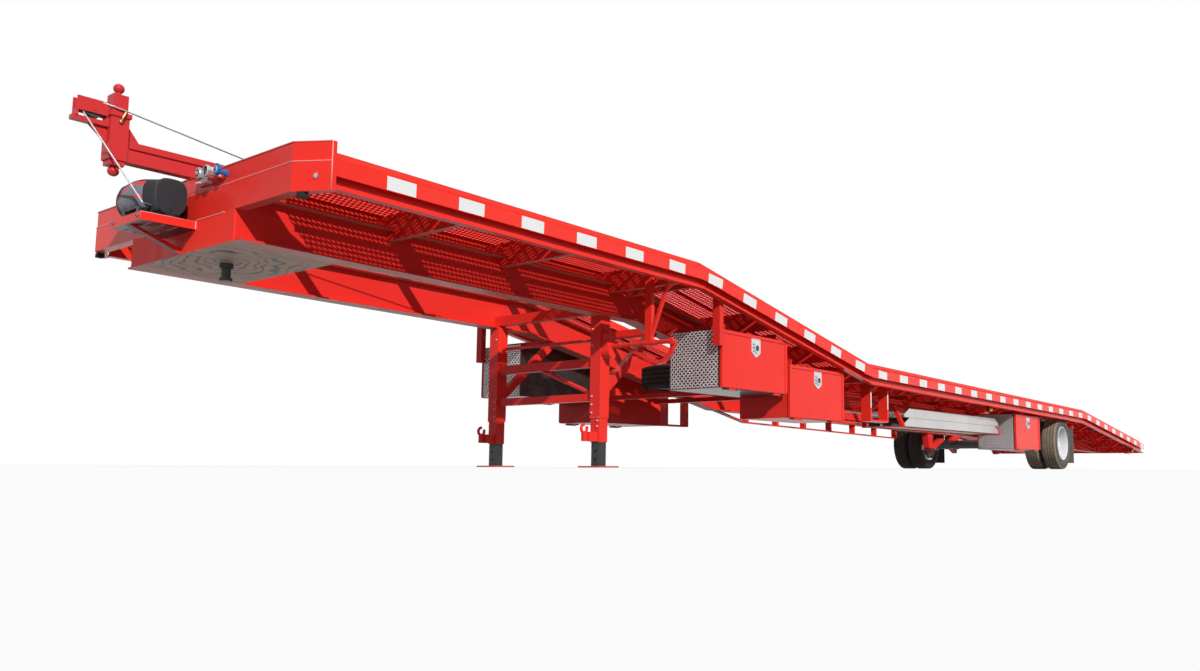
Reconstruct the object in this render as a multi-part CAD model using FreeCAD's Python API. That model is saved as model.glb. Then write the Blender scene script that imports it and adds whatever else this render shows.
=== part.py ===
import FreeCAD, Part
import math
import os

# Car transporter semi-trailer: stepped deck, one dual-wheel axle, landing gear, toolboxes,
# stowed ramps and a winch with a boom on the front wall. It stands on its legs, nose slightly up.
# Millimetres. X forward, Y to the left, Z up, ground at Z = 0. Stations are written as s,
# the distance rearward from the front wall; box(), plate() and strip() turn them into X.

os.makedirs("parts", exist_ok=True)
V = FreeCAD.Vector

# overall
front_x = 7762.5          # X of the front wall's face
half_width = 1295.5
gap = 0.3                 # between pieces that are seated on one another
deck_line = [(100.0, 1487.5), (3103.0, 1445.0), (5740.0, 933.0), (12616.0, 833.0), (16100.0, 441.0)]
tail_s = deck_line[-1][0]

# front wall
wall_top = 1574.0
wall_bottom = 1324.0
wall_chamfer = 178.0
wall_joint = 1474.0       # the upper band starts here, set back a little
wall_step = 3.0
wall_corner_y = half_width - wall_chamfer
wall_corner_s = 106.0
wall_plate = 8.0
wall_end_s = 130.0

# side rails, outward facing channel with a rub bar
rail_height = 152.0
rail_width = 52.5
rail_web_y = half_width - rail_width
rail_plate = 8.0
rub_height = 86.0

# deck and cross members
plank_seat = 17.0         # lower edges of the planks, below the rail's top
plank_rise = 48.0         # tread of the planks, above the rail's top
plank_sheet = 3.0
plank_count = 3
plank_edge = 52.0         # solid border beside and between the planks' openings
plank_open_pitch = 330.0  # the fine holes stand in the source as this coarser grid
plank_open_most = 12
frame_inset = 710.5       # from the side to the middle of a main beam
beam_y = half_width - frame_inset
runway_inner = beam_y - 165.0
runway_outer = rail_web_y - gap
cross_depth = 60.0
cross_width = 50.0
cross_at = (420.0, 930.0, 1790.0, 2860.0, 3050.0, 4080.0, 4990.0, 5688.0, 6330.0, 6950.0, 7850.0, 8750.0, 9660.0,
            10600.0, 11400.0, 12000.0, 12640.0, 13400.0, 14400.0, 15320.0)
outrigger_t = 8.0
outrigger_tip = 146.0
outrigger_foot = 45.0
outrigger_foot_t = 6.0
chord_width = 60.0
chord_start = 6345.0
chord_end = 10067.0
chord_pitch = 612.0

# main beams
beam_flange = 130.0
beam_flange_t = 10.0
beam_web = 8.0
beam_top_off = plank_seat + cross_depth + 2 * gap
beam_bottom_off = 332.0
beam_end_s = 15700.0
beam_taper_s = 14200.0        # from here to its end the beam grows shallower
beam_end_off = 190.0

# coupler
coupler_end_s = 625.0
coupler_plate = 12.0
kingpin_s = 268.0
pin_collar_r = 36.5

# landing gear
leg_s = 2800.0
leg_y = beam_y - 25.0
leg_outer = 100.0
leg_middle = 88.0
leg_inner = 76.0
foot = 210.0
foot_t = 12.0

# toolboxes
tool_len = 925.0
tool_depth = 495.0
tool_height = 445.0
tool_wall = 3.0
tool_outer_y = half_width - 73.5
door_t = 18.0
door_gap = 5.5
tool_front_s, tool_front_z = 3417.0, 600.0
tool_mid_s, tool_mid_z = 4375.0, 415.0
tool_rear_s, tool_rear_z = 9765.0, 250.0
right_shift = -225.0          # the right side's front and middle boxes and its step, against the left's

# stowed ramps
ramp_s0, ramp_s1 = 6850.0, 9550.0
ramp_width = 415.0
ramp_y1 = half_width - 215.5
ramp_y0 = ramp_y1 - ramp_width
ramp_z = 438.0
ramp_depth = 94.0
ramp_nose = 110.0         # length of the sloping ends
tooth_pitch = 62.0
tooth_depth = 9.0

# hanging steps
step_s = 5865.0
step_length = 375.0
step_z = 445.0
step_height = 307.0

# axle and wheels
axle_s = 11690.0
tyre_r = 365.0
tyre_w = 210.0
tyre_outer_y = half_width - 62.5
dual_pitch = 245.0
tyre_wall = 127.0         # rim to tread, measured along the radius
rim_r = tyre_r - tyre_wall
drum_r = rim_r - 58.0
axle_tube_r = 63.5


def X(s):
    return front_x - s


def deck_z(s):
    pts = deck_line
    for (a, za), (b, zb) in zip(pts, pts[1:]):
        if s <= b or b == pts[-1][0]:
            return za + (zb - za) * (s - a) / (b - a)
    return pts[-1][1]


def box(s0, s1, y0, y1, z0, z1):
    return Part.makeBox(s1 - s0, y1 - y0, z1 - z0, V(X(s1), y0, z0))


def plate(points, y0, y1):
    """Prism from (s, z) points across y."""
    wire = Part.makePolygon([V(X(s), y0, z) for s, z in points + points[:1]])
    return Part.Face(wire).extrude(V(0, y1 - y0, 0))


def slab(points, z0, z1):
    """Prism from (s, y) points upward."""
    wire = Part.makePolygon([V(X(s), y, z0) for s, y in points + points[:1]])
    return Part.Face(wire).extrude(V(0, 0, z1 - z0))


def rib(points, s0, s1):
    """Prism from (y, z) points along s."""
    wire = Part.makePolygon([V(X(s0), y, z) for y, z in points + points[:1]])
    return Part.Face(wire).extrude(V(s0 - s1, 0, 0))


def strip(top, bottom, y0, y1, s0, s1):
    """Strip that follows the deck line, between two depths below it."""
    stations = [s0] + [s for s, z in deck_line if s0 < s < s1] + [s1]
    points = [(s, deck_z(s) - top) for s in stations]
    points += [(s, deck_z(s) - bottom) for s in reversed(stations)]
    return plate(points, y0, y1)


def rod(a, b, r):
    a = V(X(a[0]), a[1], a[2])
    b = V(X(b[0]), b[1], b[2])
    return Part.makeCylinder(r, (b - a).Length, a, b - a)


def fuse(shapes):
    out = shapes[0]
    if len(shapes) > 1:
        out = out.multiFuse(shapes[1:])
    return out.removeSplitter()


def mirrored(shape):
    return shape.mirror(V(0, 0, 0), V(0, 1, 0))


def both(shape):
    return Part.makeCompound([shape, mirrored(shape)])


def write(name, shape):
    shape.exportStep("parts/%s.step" % name)
    print("%-24s %3d solids %9.5f m3 %s" % (name, len(shape.Solids), shape.Volume / 1e9, shape.isValid()))


# main beams
def beam():
    """Straight stretches of one I-section, butted at the bends."""
    flange_y = (beam_y - beam_flange / 2, beam_y + beam_flange / 2)
    web_y = (beam_y - beam_web / 2, beam_y + beam_web / 2)
    out = []
    for s0, s1 in stretches(wall_plate + gap, beam_end_s):
        top = strip(beam_top_off, beam_top_off + beam_flange_t, *flange_y, s0, s1)
        web = strip(beam_top_off + beam_flange_t, beam_bottom_off - beam_flange_t, *web_y, s0, s1)
        if s1 == beam_end_s:
            web = strip(beam_top_off + beam_flange_t, beam_bottom_off - beam_flange_t, *web_y, s0, beam_taper_s)
            low = strip(beam_bottom_off - beam_flange_t, beam_bottom_off, *flange_y, s0, beam_taper_s)
            a, b = beam_taper_s, beam_end_s
            za, zb = deck_z(a) - beam_bottom_off, deck_z(b) - beam_end_off
            ta, tb = deck_z(a) - beam_top_off - beam_flange_t, deck_z(b) - beam_top_off - beam_flange_t
            end_web = plate([(a, ta), (b, tb), (b, zb), (a, za)], *web_y)
            end_low = plate([(a, za + beam_flange_t), (b, zb + beam_flange_t), (b, zb), (a, za)], *flange_y)
            out.append(fuse([top, web, low, end_web, end_low]))
            continue
        low = strip(beam_bottom_off - beam_flange_t, beam_bottom_off, *flange_y, s0, s1)
        out.append(fuse([top, web, low]))
    return Part.makeCompound(out)


def stretches(s0, s1):
    """The deck's straight stretches from s0 to s1, a small gap apart."""
    stops = [s0] + [s for s, z in deck_line if s0 < s < s1] + [s1]
    return [(a + (gap / 2 if i else 0), b - (gap / 2 if b != s1 else 0)) for i, (a, b) in enumerate(zip(stops, stops[1:]))]


def cross_stations():
    return [s for s in cross_at if s < tail_s - 200]


def cross_members():
    out = []
    for s in cross_stations():
        top = plank_seat + gap
        low = top + cross_depth
        a, b = s, s + cross_width
        out.append(plate([(a, deck_z(a) - top), (b, deck_z(b) - top), (b, deck_z(b) - low), (a, deck_z(a) - low)],
                         -runway_outer, runway_outer))
    return Part.makeCompound(out)


def outriggers():
    """Brackets from the beams' webs to the side rails, flanged below, in front of each cross member."""
    inner = beam_y + beam_web / 2 + gap
    outer = rail_web_y - gap
    out = []
    for s in cross_stations():
        if s > beam_end_s - 80:
            continue
        a = s - gap - outrigger_t
        z = min(deck_z(a), deck_z(a + outrigger_t)) - plank_seat - gap
        flange_z = deck_z(a) - beam_top_off - beam_flange_t - 6
        reach = beam_y + beam_flange / 2 + 4
        tip = deck_z(a) - outrigger_tip
        if axle_s - tyre_r - 70 < a < axle_s + tyre_r + 60:
            pts = [(inner, flange_z), (reach, flange_z), (reach, z), (outer, z), (outer, z - 36), (reach + 60, z - 36),
                   (inner, flange_z - 60)]
            piece = rib(pts, a, a + outrigger_t)
        else:
            low = tip if tip - 20 > tool_top(a) else tip + 60
            foot = min(low, flange_z - outrigger_foot_t)
            pts = [(inner, flange_z), (reach, flange_z), (reach, z), (outer, z), (outer, low), (inner, foot)]
            web = rib(pts, a, a + outrigger_t)
            shelf = [(outer, low), (outer, low + outrigger_foot_t), (inner, foot + outrigger_foot_t), (inner, foot)]
            piece = fuse([web, rib(shelf, a, a + outrigger_foot)])
        out += [piece, mirrored(piece)]
    return Part.makeCompound(out)


def tool_top(s):
    for a, z in ((tool_front_s, tool_front_z), (tool_mid_s, tool_mid_z), (tool_rear_s, tool_rear_z)):
        if a + right_shift - 20 < s < a + tool_len + 20:
            return z + tool_height
    if ramp_s0 - 20 < s < ramp_s1 + 20:
        return ramp_z + 190
    return 0.0


def lower_chord():
    """Bar under the beam, rising to it in front, with short posts between."""
    y0, y1 = beam_y - chord_width / 2, beam_y + chord_width / 2
    under = lambda s: deck_z(s) - beam_bottom_off - gap
    bar_z = lambda s: 490 - (s - chord_start) * 0.0206
    rise = chord_start - 560
    line = [(rise, under(rise + 75)), (chord_start, bar_z(chord_start)), (chord_end, bar_z(chord_end))]
    back = [(chord_end, bar_z(chord_end) + 14), (chord_start + 4, bar_z(chord_start) + 14), (rise + 75, under(rise + 75))]
    pieces = [plate(line + back, y0, y1)]
    for k in range(int((chord_end - chord_start) / chord_pitch) + 1):
        s = chord_start + k * chord_pitch
        pieces.append(plate([(s, bar_z(s) + 6), (s + 50, bar_z(s + 50) + 6), (s + 50, under(s + 50)), (s, under(s))], y0, y1))
    return fuse(pieces)


def side_rail():
    out = []
    for s0, s1 in stretches(wall_end_s + gap, tail_s):
        web = strip(0, rail_height, rail_web_y, rail_web_y + rail_plate, s0, s1)
        top = strip(0, rail_plate, rail_web_y + rail_plate, half_width, s0, s1)
        low = strip(rail_height - rail_plate, rail_height, rail_web_y + rail_plate, half_width, s0, s1)
        rub = strip(rail_plate, rub_height, half_width - rail_plate, half_width, s0, s1)
        out.append(fuse([web, top, low, rub]))
    return Part.makeCompound(out)


def front_wall():
    def outline(t):
        c = math.hypot(wall_corner_s, half_width - wall_corner_y)
        shift = t * (c - wall_corner_s) / (half_width - wall_corner_y)
        side = t * (c - (half_width - wall_corner_y)) / wall_corner_s
        return [(wall_end_s, half_width - t), (wall_corner_s + side, half_width - t), (t, wall_corner_y - shift)]
    out, inn = outline(0.0), outline(wall_plate)
    flip = lambda pts: [(s, -y) for s, y in reversed(pts)]
    ring = out + flip(out) + [(s, y) for s, y in (inn + flip(inn))[::-1]]
    wall = slab(ring, wall_bottom, wall_joint)
    back = outline(wall_step)
    upper = slab(back + flip(back) + (inn + flip(inn))[::-1], wall_joint, wall_top)
    lip = outline(60.0)
    low = slab(out + flip(out) + (lip + flip(lip))[::-1], wall_bottom, wall_bottom + wall_plate)
    lip2 = outline(40.0)
    top = slab(back + flip(back) + (lip2 + flip(lip2))[::-1], wall_top - wall_plate, wall_top)
    shape = fuse([wall, upper, low, top])
    for side in (1, -1):
        y0, y1 = side * beam_y - beam_web / 2 - gap, side * beam_y + beam_web / 2 + gap
        shape = shape.cut(box(wall_plate, 61, y0, y1, wall_bottom - 1, wall_bottom + wall_plate + 1))
    return shape


def plank_openings(s0, s1, y0, y1):
    """Row of openings along one plank, as a cutting shape."""
    count = min(plank_open_most, round((s1 - s0) / plank_open_pitch))
    pitch = (s1 - s0 - plank_edge) / count
    starts = [s0 + plank_edge + k * pitch for k in range(count)]
    return Part.makeCompound([strip(-plank_rise - 1, plank_sheet - plank_rise + 1, y0, y1, s, s + pitch - plank_edge)
                              for s in starts])


def runway(s0, s1):
    """Channel planks side by side with their webs down, on both sides of the open middle."""
    width = (runway_outer - runway_inner) / plank_count
    pieces = []
    for k in range(plank_count):
        y0 = runway_inner + k * width + (gap if k else 0)
        y1 = runway_inner + (k + 1) * width
        tread = strip(-plank_rise, plank_sheet - plank_rise, y0, y1, s0 + gap, s1 - gap)
        tread = tread.cut(plank_openings(s0 + gap, s1 - gap, y0 + plank_edge, y1 - plank_edge))
        webs = [strip(-plank_rise, plank_seat, y, y + plank_sheet, s0 + gap, s1 - gap) for y in (y0, y1 - plank_sheet)]
        pieces.append(fuse([tread] + webs))
    return both(Part.makeCompound(pieces))


def coupler():
    """Bolster plate between the beams with its front box and the wall of the box."""
    inner = beam_y - beam_flange / 2 - gap
    z0 = deck_z(0) - beam_bottom_off
    z1 = deck_z(coupler_end_s) - beam_bottom_off
    low = plate([(wall_plate + gap, z0), (coupler_end_s, z1), (coupler_end_s, z1 + coupler_plate),
                 (wall_plate + gap, z0 + coupler_plate)], -inner, inner)
    face = box(0, wall_plate, -beam_y - 5, beam_y + 5, z0, wall_bottom - gap)
    foot_plate = box(0, wall_plate + gap, -inner, inner, z0, z0 + coupler_plate)
    hole = Part.makeCylinder(pin_collar_r + gap, 60, V(X(kingpin_s), 0, z1 - 30))
    return fuse([low, foot_plate, face]).cut(hole)


def kingpin():
    """Pin through the plate: disc on top, collar, neck and foot."""
    top = deck_z(kingpin_s - 75) - beam_bottom_off + coupler_plate + gap
    face = deck_z(kingpin_s) - beam_bottom_off
    c = X(kingpin_s)
    disc = Part.makeCylinder(75, 12, V(c, 0, top))
    collar = Part.makeCylinder(pin_collar_r, top - face + 31, V(c, 0, face - 31))
    neck = Part.makeCylinder(25.4, 56, V(c, 0, face - 86))
    foot_disc = Part.makeCylinder(35.7, 18, V(c, 0, face - 103))
    return fuse([disc, collar, neck, foot_disc])


# winch and boom on the front wall
tray_s = -285.0
tray_half = 180.0
tray_top = 1318.0


def winch_tray():
    t = 6.0
    floor = box(tray_s, -gap, -tray_half, tray_half, tray_top - 45, tray_top - 45 + t)
    front = box(tray_s, tray_s + t, -tray_half, tray_half, tray_top - 45, tray_top)
    left = box(tray_s, -gap, tray_half - t, tray_half, tray_top - 45, tray_top)
    brace = plate([(tray_s + 12, tray_top - 45), (tray_s + 52, tray_top - 45), (-gap, 1190), (-gap, 1160)], -22, 22)
    return fuse([floor, front, left, mirrored(left), brace])


def winch():
    z = tray_top - 39 + gap
    base = box(-250, -40, -150, 150, z, z + 10)
    drum = rod((-130, -95, z + 105), (-130, 95, z + 105), 60)
    ends = [box(-205, -55, y, y + 12, z + 10, z + 175) for y in (-107, 95)]
    motor = rod((-130, -165, z + 105), (-130, -107, z + 105), 55)
    gears = rod((-130, 107, z + 105), (-130, 165, z + 105), 62)
    fair = box(-262, -250, -95, 95, z, z + 82).cut(box(-263, -249, -70, 70, z + 45, z + 75))
    return fuse([base, drum, motor, gears, fair] + ends)


def winch_cover():
    z = tray_top - 39 + gap
    outer = plate([(-272, z + 60), (-240, z + 215), (-60, z + 245), (-8, z + 215), (-8, z + 60)], -176, 176)
    inner = plate([(-267, z + 59), (-236, z + 209), (-62, z + 239), (-14, z + 211), (-14, z + 59)], -170, 170)
    cut = box(-300, -230, -60, 60, z, z + 100)
    return outer.cut(inner).cut(cut)


boom_z = 1597.0
boom_root_s = 300.0
mast_s = -405.0
mast_w = 92.0
mast_top = 1850.0
mast_bottom = 1655.0
pulley_s = -475.0
pulley_z = 1838.0
pulley_r = 42.0


def boom():
    low = box(mast_s + mast_w, boom_root_s, -32, 32, boom_z, boom_z + 63.5)
    high = box(mast_s + mast_w, boom_root_s, -25, 25, boom_z + 63.5, boom_z + 114.5)
    wall = 8.0
    mast = box(mast_s, mast_s + mast_w, -mast_w / 2, mast_w / 2, boom_z - 2, mast_top)
    bore = box(mast_s + wall, mast_s + mast_w - wall, -mast_w / 2 + wall, mast_w / 2 - wall, boom_z - 3, mast_top + 1)
    collar = box(mast_s - 8, mast_s + mast_w + 8, -mast_w / 2 - 8, mast_w / 2 + 8, mast_top - 24, mast_top)
    gusset = plate([(mast_s + mast_w, boom_z + 114), (mast_s + mast_w + 75, boom_z + 114), (mast_s + mast_w, boom_z + 215)],
                   -5, 5)
    head_low = box(-575, mast_s, -22, 22, 1765, 1790)
    left = box(-560, mast_s, 24, 32, 1818, 1890)
    stay = plate([(mast_s, 1766), (mast_s - 95, 1766), (mast_s, 1676)], -5, 5)
    shape = fuse([low, high, mast, collar, gusset, head_low, left, mirrored(left), stay,
                  box(-560, -552, -32, 32, 1789, 1820), box(mast_s - 14, mast_s, -24.5, 24.5, 1765, 1830)])
    pin = rod((pulley_s, -34, pulley_z), (pulley_s, 34, pulley_z), 8)
    return shape.cut(bore).fuse(pin).removeSplitter()


def boom_post():
    """Square post that slides in the mast, with a round knob on each end."""
    w = mast_w / 2 - 8 - 0.1
    c = mast_s + mast_w / 2
    post = box(c - w, c + w, -w, w, boom_z - 30, 1950)
    top = Part.makeSphere(27, V(X(c), 0, 1990))
    neck = Part.makeCylinder(13, 25, V(X(c), 0, 1948))
    low = Part.makeSphere(28, V(X(c), 0, boom_z - 55))
    return fuse([post, neck, top, low])


def boom_bracket():
    """Receiver that carries the boom behind the wall."""
    t = 8.0
    side = box(60, boom_root_s, 32 + gap, 32 + gap + t, deck_z(60) - 40, boom_z + 63)
    foot_plate = box(60, boom_root_s, -32 - gap, 32 + gap, boom_z - gap - t, boom_z - gap)
    inside = wall_plate + gap
    base = box(inside, boom_root_s, -120, 120, deck_z(60) - 48, deck_z(60) - 40)
    back = box(inside, inside + t, -120, 120, deck_z(60) - 48, wall_top - wall_plate - gap)
    return fuse([side, mirrored(side), foot_plate, base, back])


def sheave():
    wheel = rod((pulley_s, -20, pulley_z), (pulley_s, 20, pulley_z), pulley_r)
    groove = Part.makeTorus(pulley_r + 4, 12, V(X(pulley_s), 0, pulley_z), V(0, 1, 0))
    hole = rod((pulley_s, -30, pulley_z), (pulley_s, 30, pulley_z), 8.05)
    return wheel.cut(groove).cut(hole)


# landing gear
def leg():
    """Outer and middle tube, with the pin bracket and its hook."""
    a, b = leg_s - leg_outer / 2, leg_s + leg_outer / 2
    h = leg_outer / 2
    under = lambda s: deck_z(s) - beam_bottom_off - gap
    outer = plate([(a, 363), (b, 363), (b, under(b)), (a, under(a))], leg_y - h, leg_y + h)
    m = leg_middle / 2
    middle = box(leg_s - m, leg_s + m, leg_y - m, leg_y + m, 185, 363)
    i = leg_inner / 2 + gap
    bore = box(leg_s - i, leg_s + i, leg_y - i, leg_y + i, 184, 262)
    shelf = box(leg_s - m - 88, leg_s - m, leg_y - 30, leg_y + 30, 190, 258)
    ear = box(leg_s - m - 130, leg_s - m - 88, leg_y - 11, leg_y + 11, 190, 258)
    hook = Part.makeTorus(29, 11, V(X(leg_s - m - 112), leg_y, 280), V(0, 1, 0), -180, 180, 300)
    return fuse([outer, middle, shelf, ear, hook]).cut(bore)


def leg_foot():
    """Inner tube with its pin holes, and the foot."""
    i = leg_inner / 2
    inner = box(leg_s - i, leg_s + i, leg_y - i, leg_y + i, foot_t, 260)
    for z in (60, 118):
        inner = inner.cut(rod((leg_s - 60, leg_y, z), (leg_s + 60, leg_y, z), 9))
    f = foot / 2
    base = box(leg_s - f, leg_s + f, leg_y - f, leg_y + f, 0, foot_t)
    return fuse([inner, base])


def leg_braces():
    """Diagonal channels from the legs up and rearward to the beams, and the cross beam."""
    s0 = leg_s + leg_outer / 2 + gap
    under = lambda s: deck_z(s) - beam_bottom_off - gap
    s1 = s0 + 560
    brace = plate([(s0, 535), (s0, 610), (s1 - 60, under(s1 - 60)), (s1 + 20, under(s1 + 20))], leg_y - 25, leg_y + 25)
    inner = beam_y - beam_web / 2 - gap
    z = deck_z(leg_s) - beam_bottom_off + beam_flange_t + 8
    cross = box(leg_s - 30, leg_s + 30, -inner, inner, z, z + 76)
    return Part.makeCompound([brace, mirrored(brace), cross])


def leg_bracing():
    inner = leg_y - leg_outer / 2 - gap
    h = leg_outer / 2
    shaft = rod((leg_s, -inner, 944), (leg_s, inner, 944), 13)
    high = box(leg_s - 30, leg_s + 30, -inner, inner, 740, 805)
    low = box(leg_s - 28, leg_s + 28, -inner, inner, 487, 545)
    braces = []
    braces.append(rod((leg_s, inner - 30, 545), (leg_s, -40, 745), 16))
    return Part.makeCompound([shaft, fuse([high, low] + braces)])


def bent_bar(line, s0, s1, r):
    """Flat-sided bar of constant width that follows (y, z) points."""
    left, right = [], []
    for i, (y, z) in enumerate(line):
        a, b = line[max(i - 1, 0)], line[min(i + 1, len(line) - 1)]
        dy, dz = b[0] - a[0], b[1] - a[1]
        d = math.hypot(dy, dz)
        left.append((y - dz / d * r, z + dy / d * r))
        right.append((y + dz / d * r, z - dy / d * r))
    bar = rib(left + right[::-1], s0, s1)
    return bar


def crank():
    y0 = leg_y + leg_outer / 2 + gap
    end = half_width - 57.5
    gears = box(leg_s - 42, leg_s + 42, y0, y0 + 62, 830, 985)
    low = rod((leg_s, y0, 845), (leg_s, y0 + 78, 845), 48)
    high = rod((leg_s, y0, 960), (leg_s, y0 + 66, 960), 44)
    shaft = rod((leg_s, y0 + 40, 884), (leg_s, end, 884), 17)
    sleeve = rod((leg_s, end - 253, 884), (leg_s, end - 143, 884), 24)
    eye = rod((leg_s - 12, end - 4, 884), (leg_s + 12, end - 4, 884), 26)
    turns = [(0, 870), (33, 800), (88, 752), (148, 742), (218, 764), (338, 828), (423, 862)]
    handle = [bent_bar([(end - y, z) for y, z in turns], leg_s + 18, leg_s + 46, 15)]
    tie = box(leg_s - 6, leg_s + 30, end - 433, end - 413, 860, 884)
    pivot = rod((leg_s - 12, end, 882), (leg_s + 46, end, 882), 15)
    return fuse([gears, low, high, shaft, sleeve, eye, tie, pivot] + handle)


def crank_hanger():
    """Post and stay that carry the crank's shaft from the deck."""
    z = deck_z(leg_s + 20) - plank_seat - gap
    r = 24 + gap
    y = half_width - 275.5
    post = box(leg_s - 17, leg_s + 17, y - 14, y + 46, 860, z - 20)
    post = post.cut(rod((leg_s, y - 20, 884), (leg_s, y + 50, 884), r))
    stay = rib([(y + 46, 930), (y + 46, 985), (rail_web_y - gap, z - 22), (rail_web_y - gap, z - 76)], leg_s - 12, leg_s + 12)
    return fuse([post, stay])


# toolboxes, each with a drop-down door on two hinges below its edge
hinge_y = tool_outer_y - door_t / 2
hinge_r = 7.0
hinge_pin = 3.0
hinge_clear = 0.05
hinge_drop = 8.0


def hinge_spans(s):
    return [(s + 110, s + 190), (s + tool_len - 190, s + tool_len - 110)]


def toolbox(s, z):
    y1 = tool_outer_y - door_t - door_gap
    y0 = tool_outer_y - tool_depth
    t = tool_wall
    shell = box(s, s + tool_len, y0, y1, z, z + tool_height)
    shell = shell.cut(box(s + t, s + tool_len - t, y0 + t, y1 + 1, z + t, z + tool_height - t))
    pieces = [shell]
    hz = z - hinge_drop
    for a, b in hinge_spans(s):
        for c, d in ((a - 26, a - gap), (b + gap, b + 26)):
            pieces.append(rod((c, hinge_y, hz), (d, hinge_y, hz), hinge_r))
            pieces.append(box(c, d, y1 - 30, hinge_y, hz - 2, hz + 2))
            pieces.append(box(c, d, y1 - 30, y1, hz + 2, z))
        pieces.append(rod((a - 26, hinge_y, hz), (b + 26, hinge_y, hz), hinge_pin))
    return fuse(pieces)


def tool_door(s, z):
    y0 = tool_outer_y - door_t
    pieces = [box(s + 4, s + tool_len - 4, y0, tool_outer_y, z + 4, z + tool_height - 4)]
    hz = z - hinge_drop
    for a, b in hinge_spans(s):
        pieces.append(rod((a, hinge_y, hz), (b, hinge_y, hz), hinge_r))
        pieces.append(box(a, b, hinge_y, hinge_y + 4, hz, z + 5))
    door = fuse(pieces)
    for a, b in hinge_spans(s):
        door = door.cut(rod((a - 1, hinge_y, hz), (b + 1, hinge_y, hz), hinge_pin + hinge_clear))
    return door


def tool_hanger(s, z):
    """Angle brackets from the main beam's web over the top of a toolbox."""
    out = []
    for a in (s + 100, s + tool_len - 108):
        low = z + tool_height + gap
        beam_low = deck_z(a + 8) - beam_bottom_off
        top = beam_low - gap if low < beam_low < low + 50 else low + 50
        out.append(box(a, a + 8, beam_y + beam_web / 2 + gap, tool_outer_y - 42, low, top))
    return out


def corner_post(shift):
    """Square post from the side rail down over the front corner of the front toolbox."""
    s0, s1 = tool_front_s - 50 + shift, tool_front_s - gap + shift
    return box(s0, s1, rail_web_y - 64, rail_web_y - gap, tool_front_z + 313, deck_z(s0 + 40) - 30)


def step(shift):
    """Hanging step, two legs with a tread."""
    s0, s1 = step_s + shift, step_s + step_length + shift
    high = step_z + step_height
    y0, y1 = rail_web_y - 143, rail_web_y - 43
    legs = [box(s, s + 22, y0, y1, step_z, high) for s in (s0, s1 - 22)]
    tread = box(s0, s1, y0, y1, step_z, step_z + 18)
    top = deck_z(s1) - 66
    hang = [box(s, s + 22, y0, rail_web_y - gap, high, top) for s in (s0, s1 - 22)]
    return fuse(legs + [tread] + hang)


# axle and wheels
def tyre(outer_y):
    y0 = outer_y - tyre_w
    r0, r1, w = rim_r, tyre_r, tyre_w
    pts = [(r0, 22), (r0 + 40, 2), (r1 - 45, 0), (r1 - 8, 12), (r1, 26), (r1, w - 26), (r1 - 8, w - 12),
           (r1 - 45, w), (r0 + 40, w - 2), (r0, w - 22)]
    wire = Part.makePolygon([V(0, y, r) for r, y in pts + pts[:1]])
    ring = Part.Face(wire).revolve(V(0, 0, 0), V(0, 1, 0), 360)
    ring.translate(V(X(axle_s), y0, tyre_r))
    return ring


def wheel():
    c = X(axle_s)
    outer = tyre_outer_y
    r = rim_r - gap
    yo = outer - 16
    yi = outer - dual_pitch - tyre_w + 16
    mid = outer - (dual_pitch + tyre_w) / 2
    prof = [(r, yo), (r - 12, yo), (r - 20, yo - 30), (r - 34, yo - 120), (r - 40, mid + 8), (110, mid + 8),
            (110, mid - 8), (r - 40, mid - 8), (r - 34, yi + 120), (r - 20, yi + 30), (r - 12, yi), (r, yi)]
    wire = Part.makePolygon([V(0, y, q) for q, y in prof + prof[:1]])
    ring = Part.Face(wire).revolve(V(0, 0, 0), V(0, 1, 0), 360)
    hub = Part.makeCylinder(112, 150, V(0, mid - 60, 0), V(0, 1, 0))
    hub = hub.cut(Part.makeCylinder(50.05, 200, V(0, mid - 61, 0), V(0, 1, 0)))
    cap = Part.makeCylinder(70, 60, V(0, mid + 90, 0), V(0, 1, 0))
    drum = Part.makeCylinder(drum_r, 130, V(0, mid - 200, 0), V(0, 1, 0))
    drum = drum.cut(Part.makeCylinder(drum_r - 15, 119, V(0, mid - 201, 0), V(0, 1, 0)))
    drum = drum.cut(Part.makeCylinder(50.05, 400, V(0, mid - 201, 0), V(0, 1, 0)))
    join = Part.makeCylinder(112, 20, V(0, mid - 75, 0), V(0, 1, 0)).cut(
        Part.makeCylinder(50.05, 40, V(0, mid - 76, 0), V(0, 1, 0)))
    w = fuse([ring, hub, cap, drum, join])
    w.translate(V(c, 0, tyre_r))
    return w


def axle():
    mid = tyre_outer_y - (dual_pitch + tyre_w) / 2
    tube = rod((axle_s, -mid + 230, tyre_r), (axle_s, mid - 230, tyre_r), axle_tube_r)
    spindle = rod((axle_s, -mid - 88, tyre_r), (axle_s, mid + 88, tyre_r), 50)
    plates = [rod((axle_s, side * (mid - 215), tyre_r), (axle_s, side * (mid - 230), tyre_r), drum_r - 8) for side in (1, -1)]
    return fuse([tube, spindle] + plates)


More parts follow.
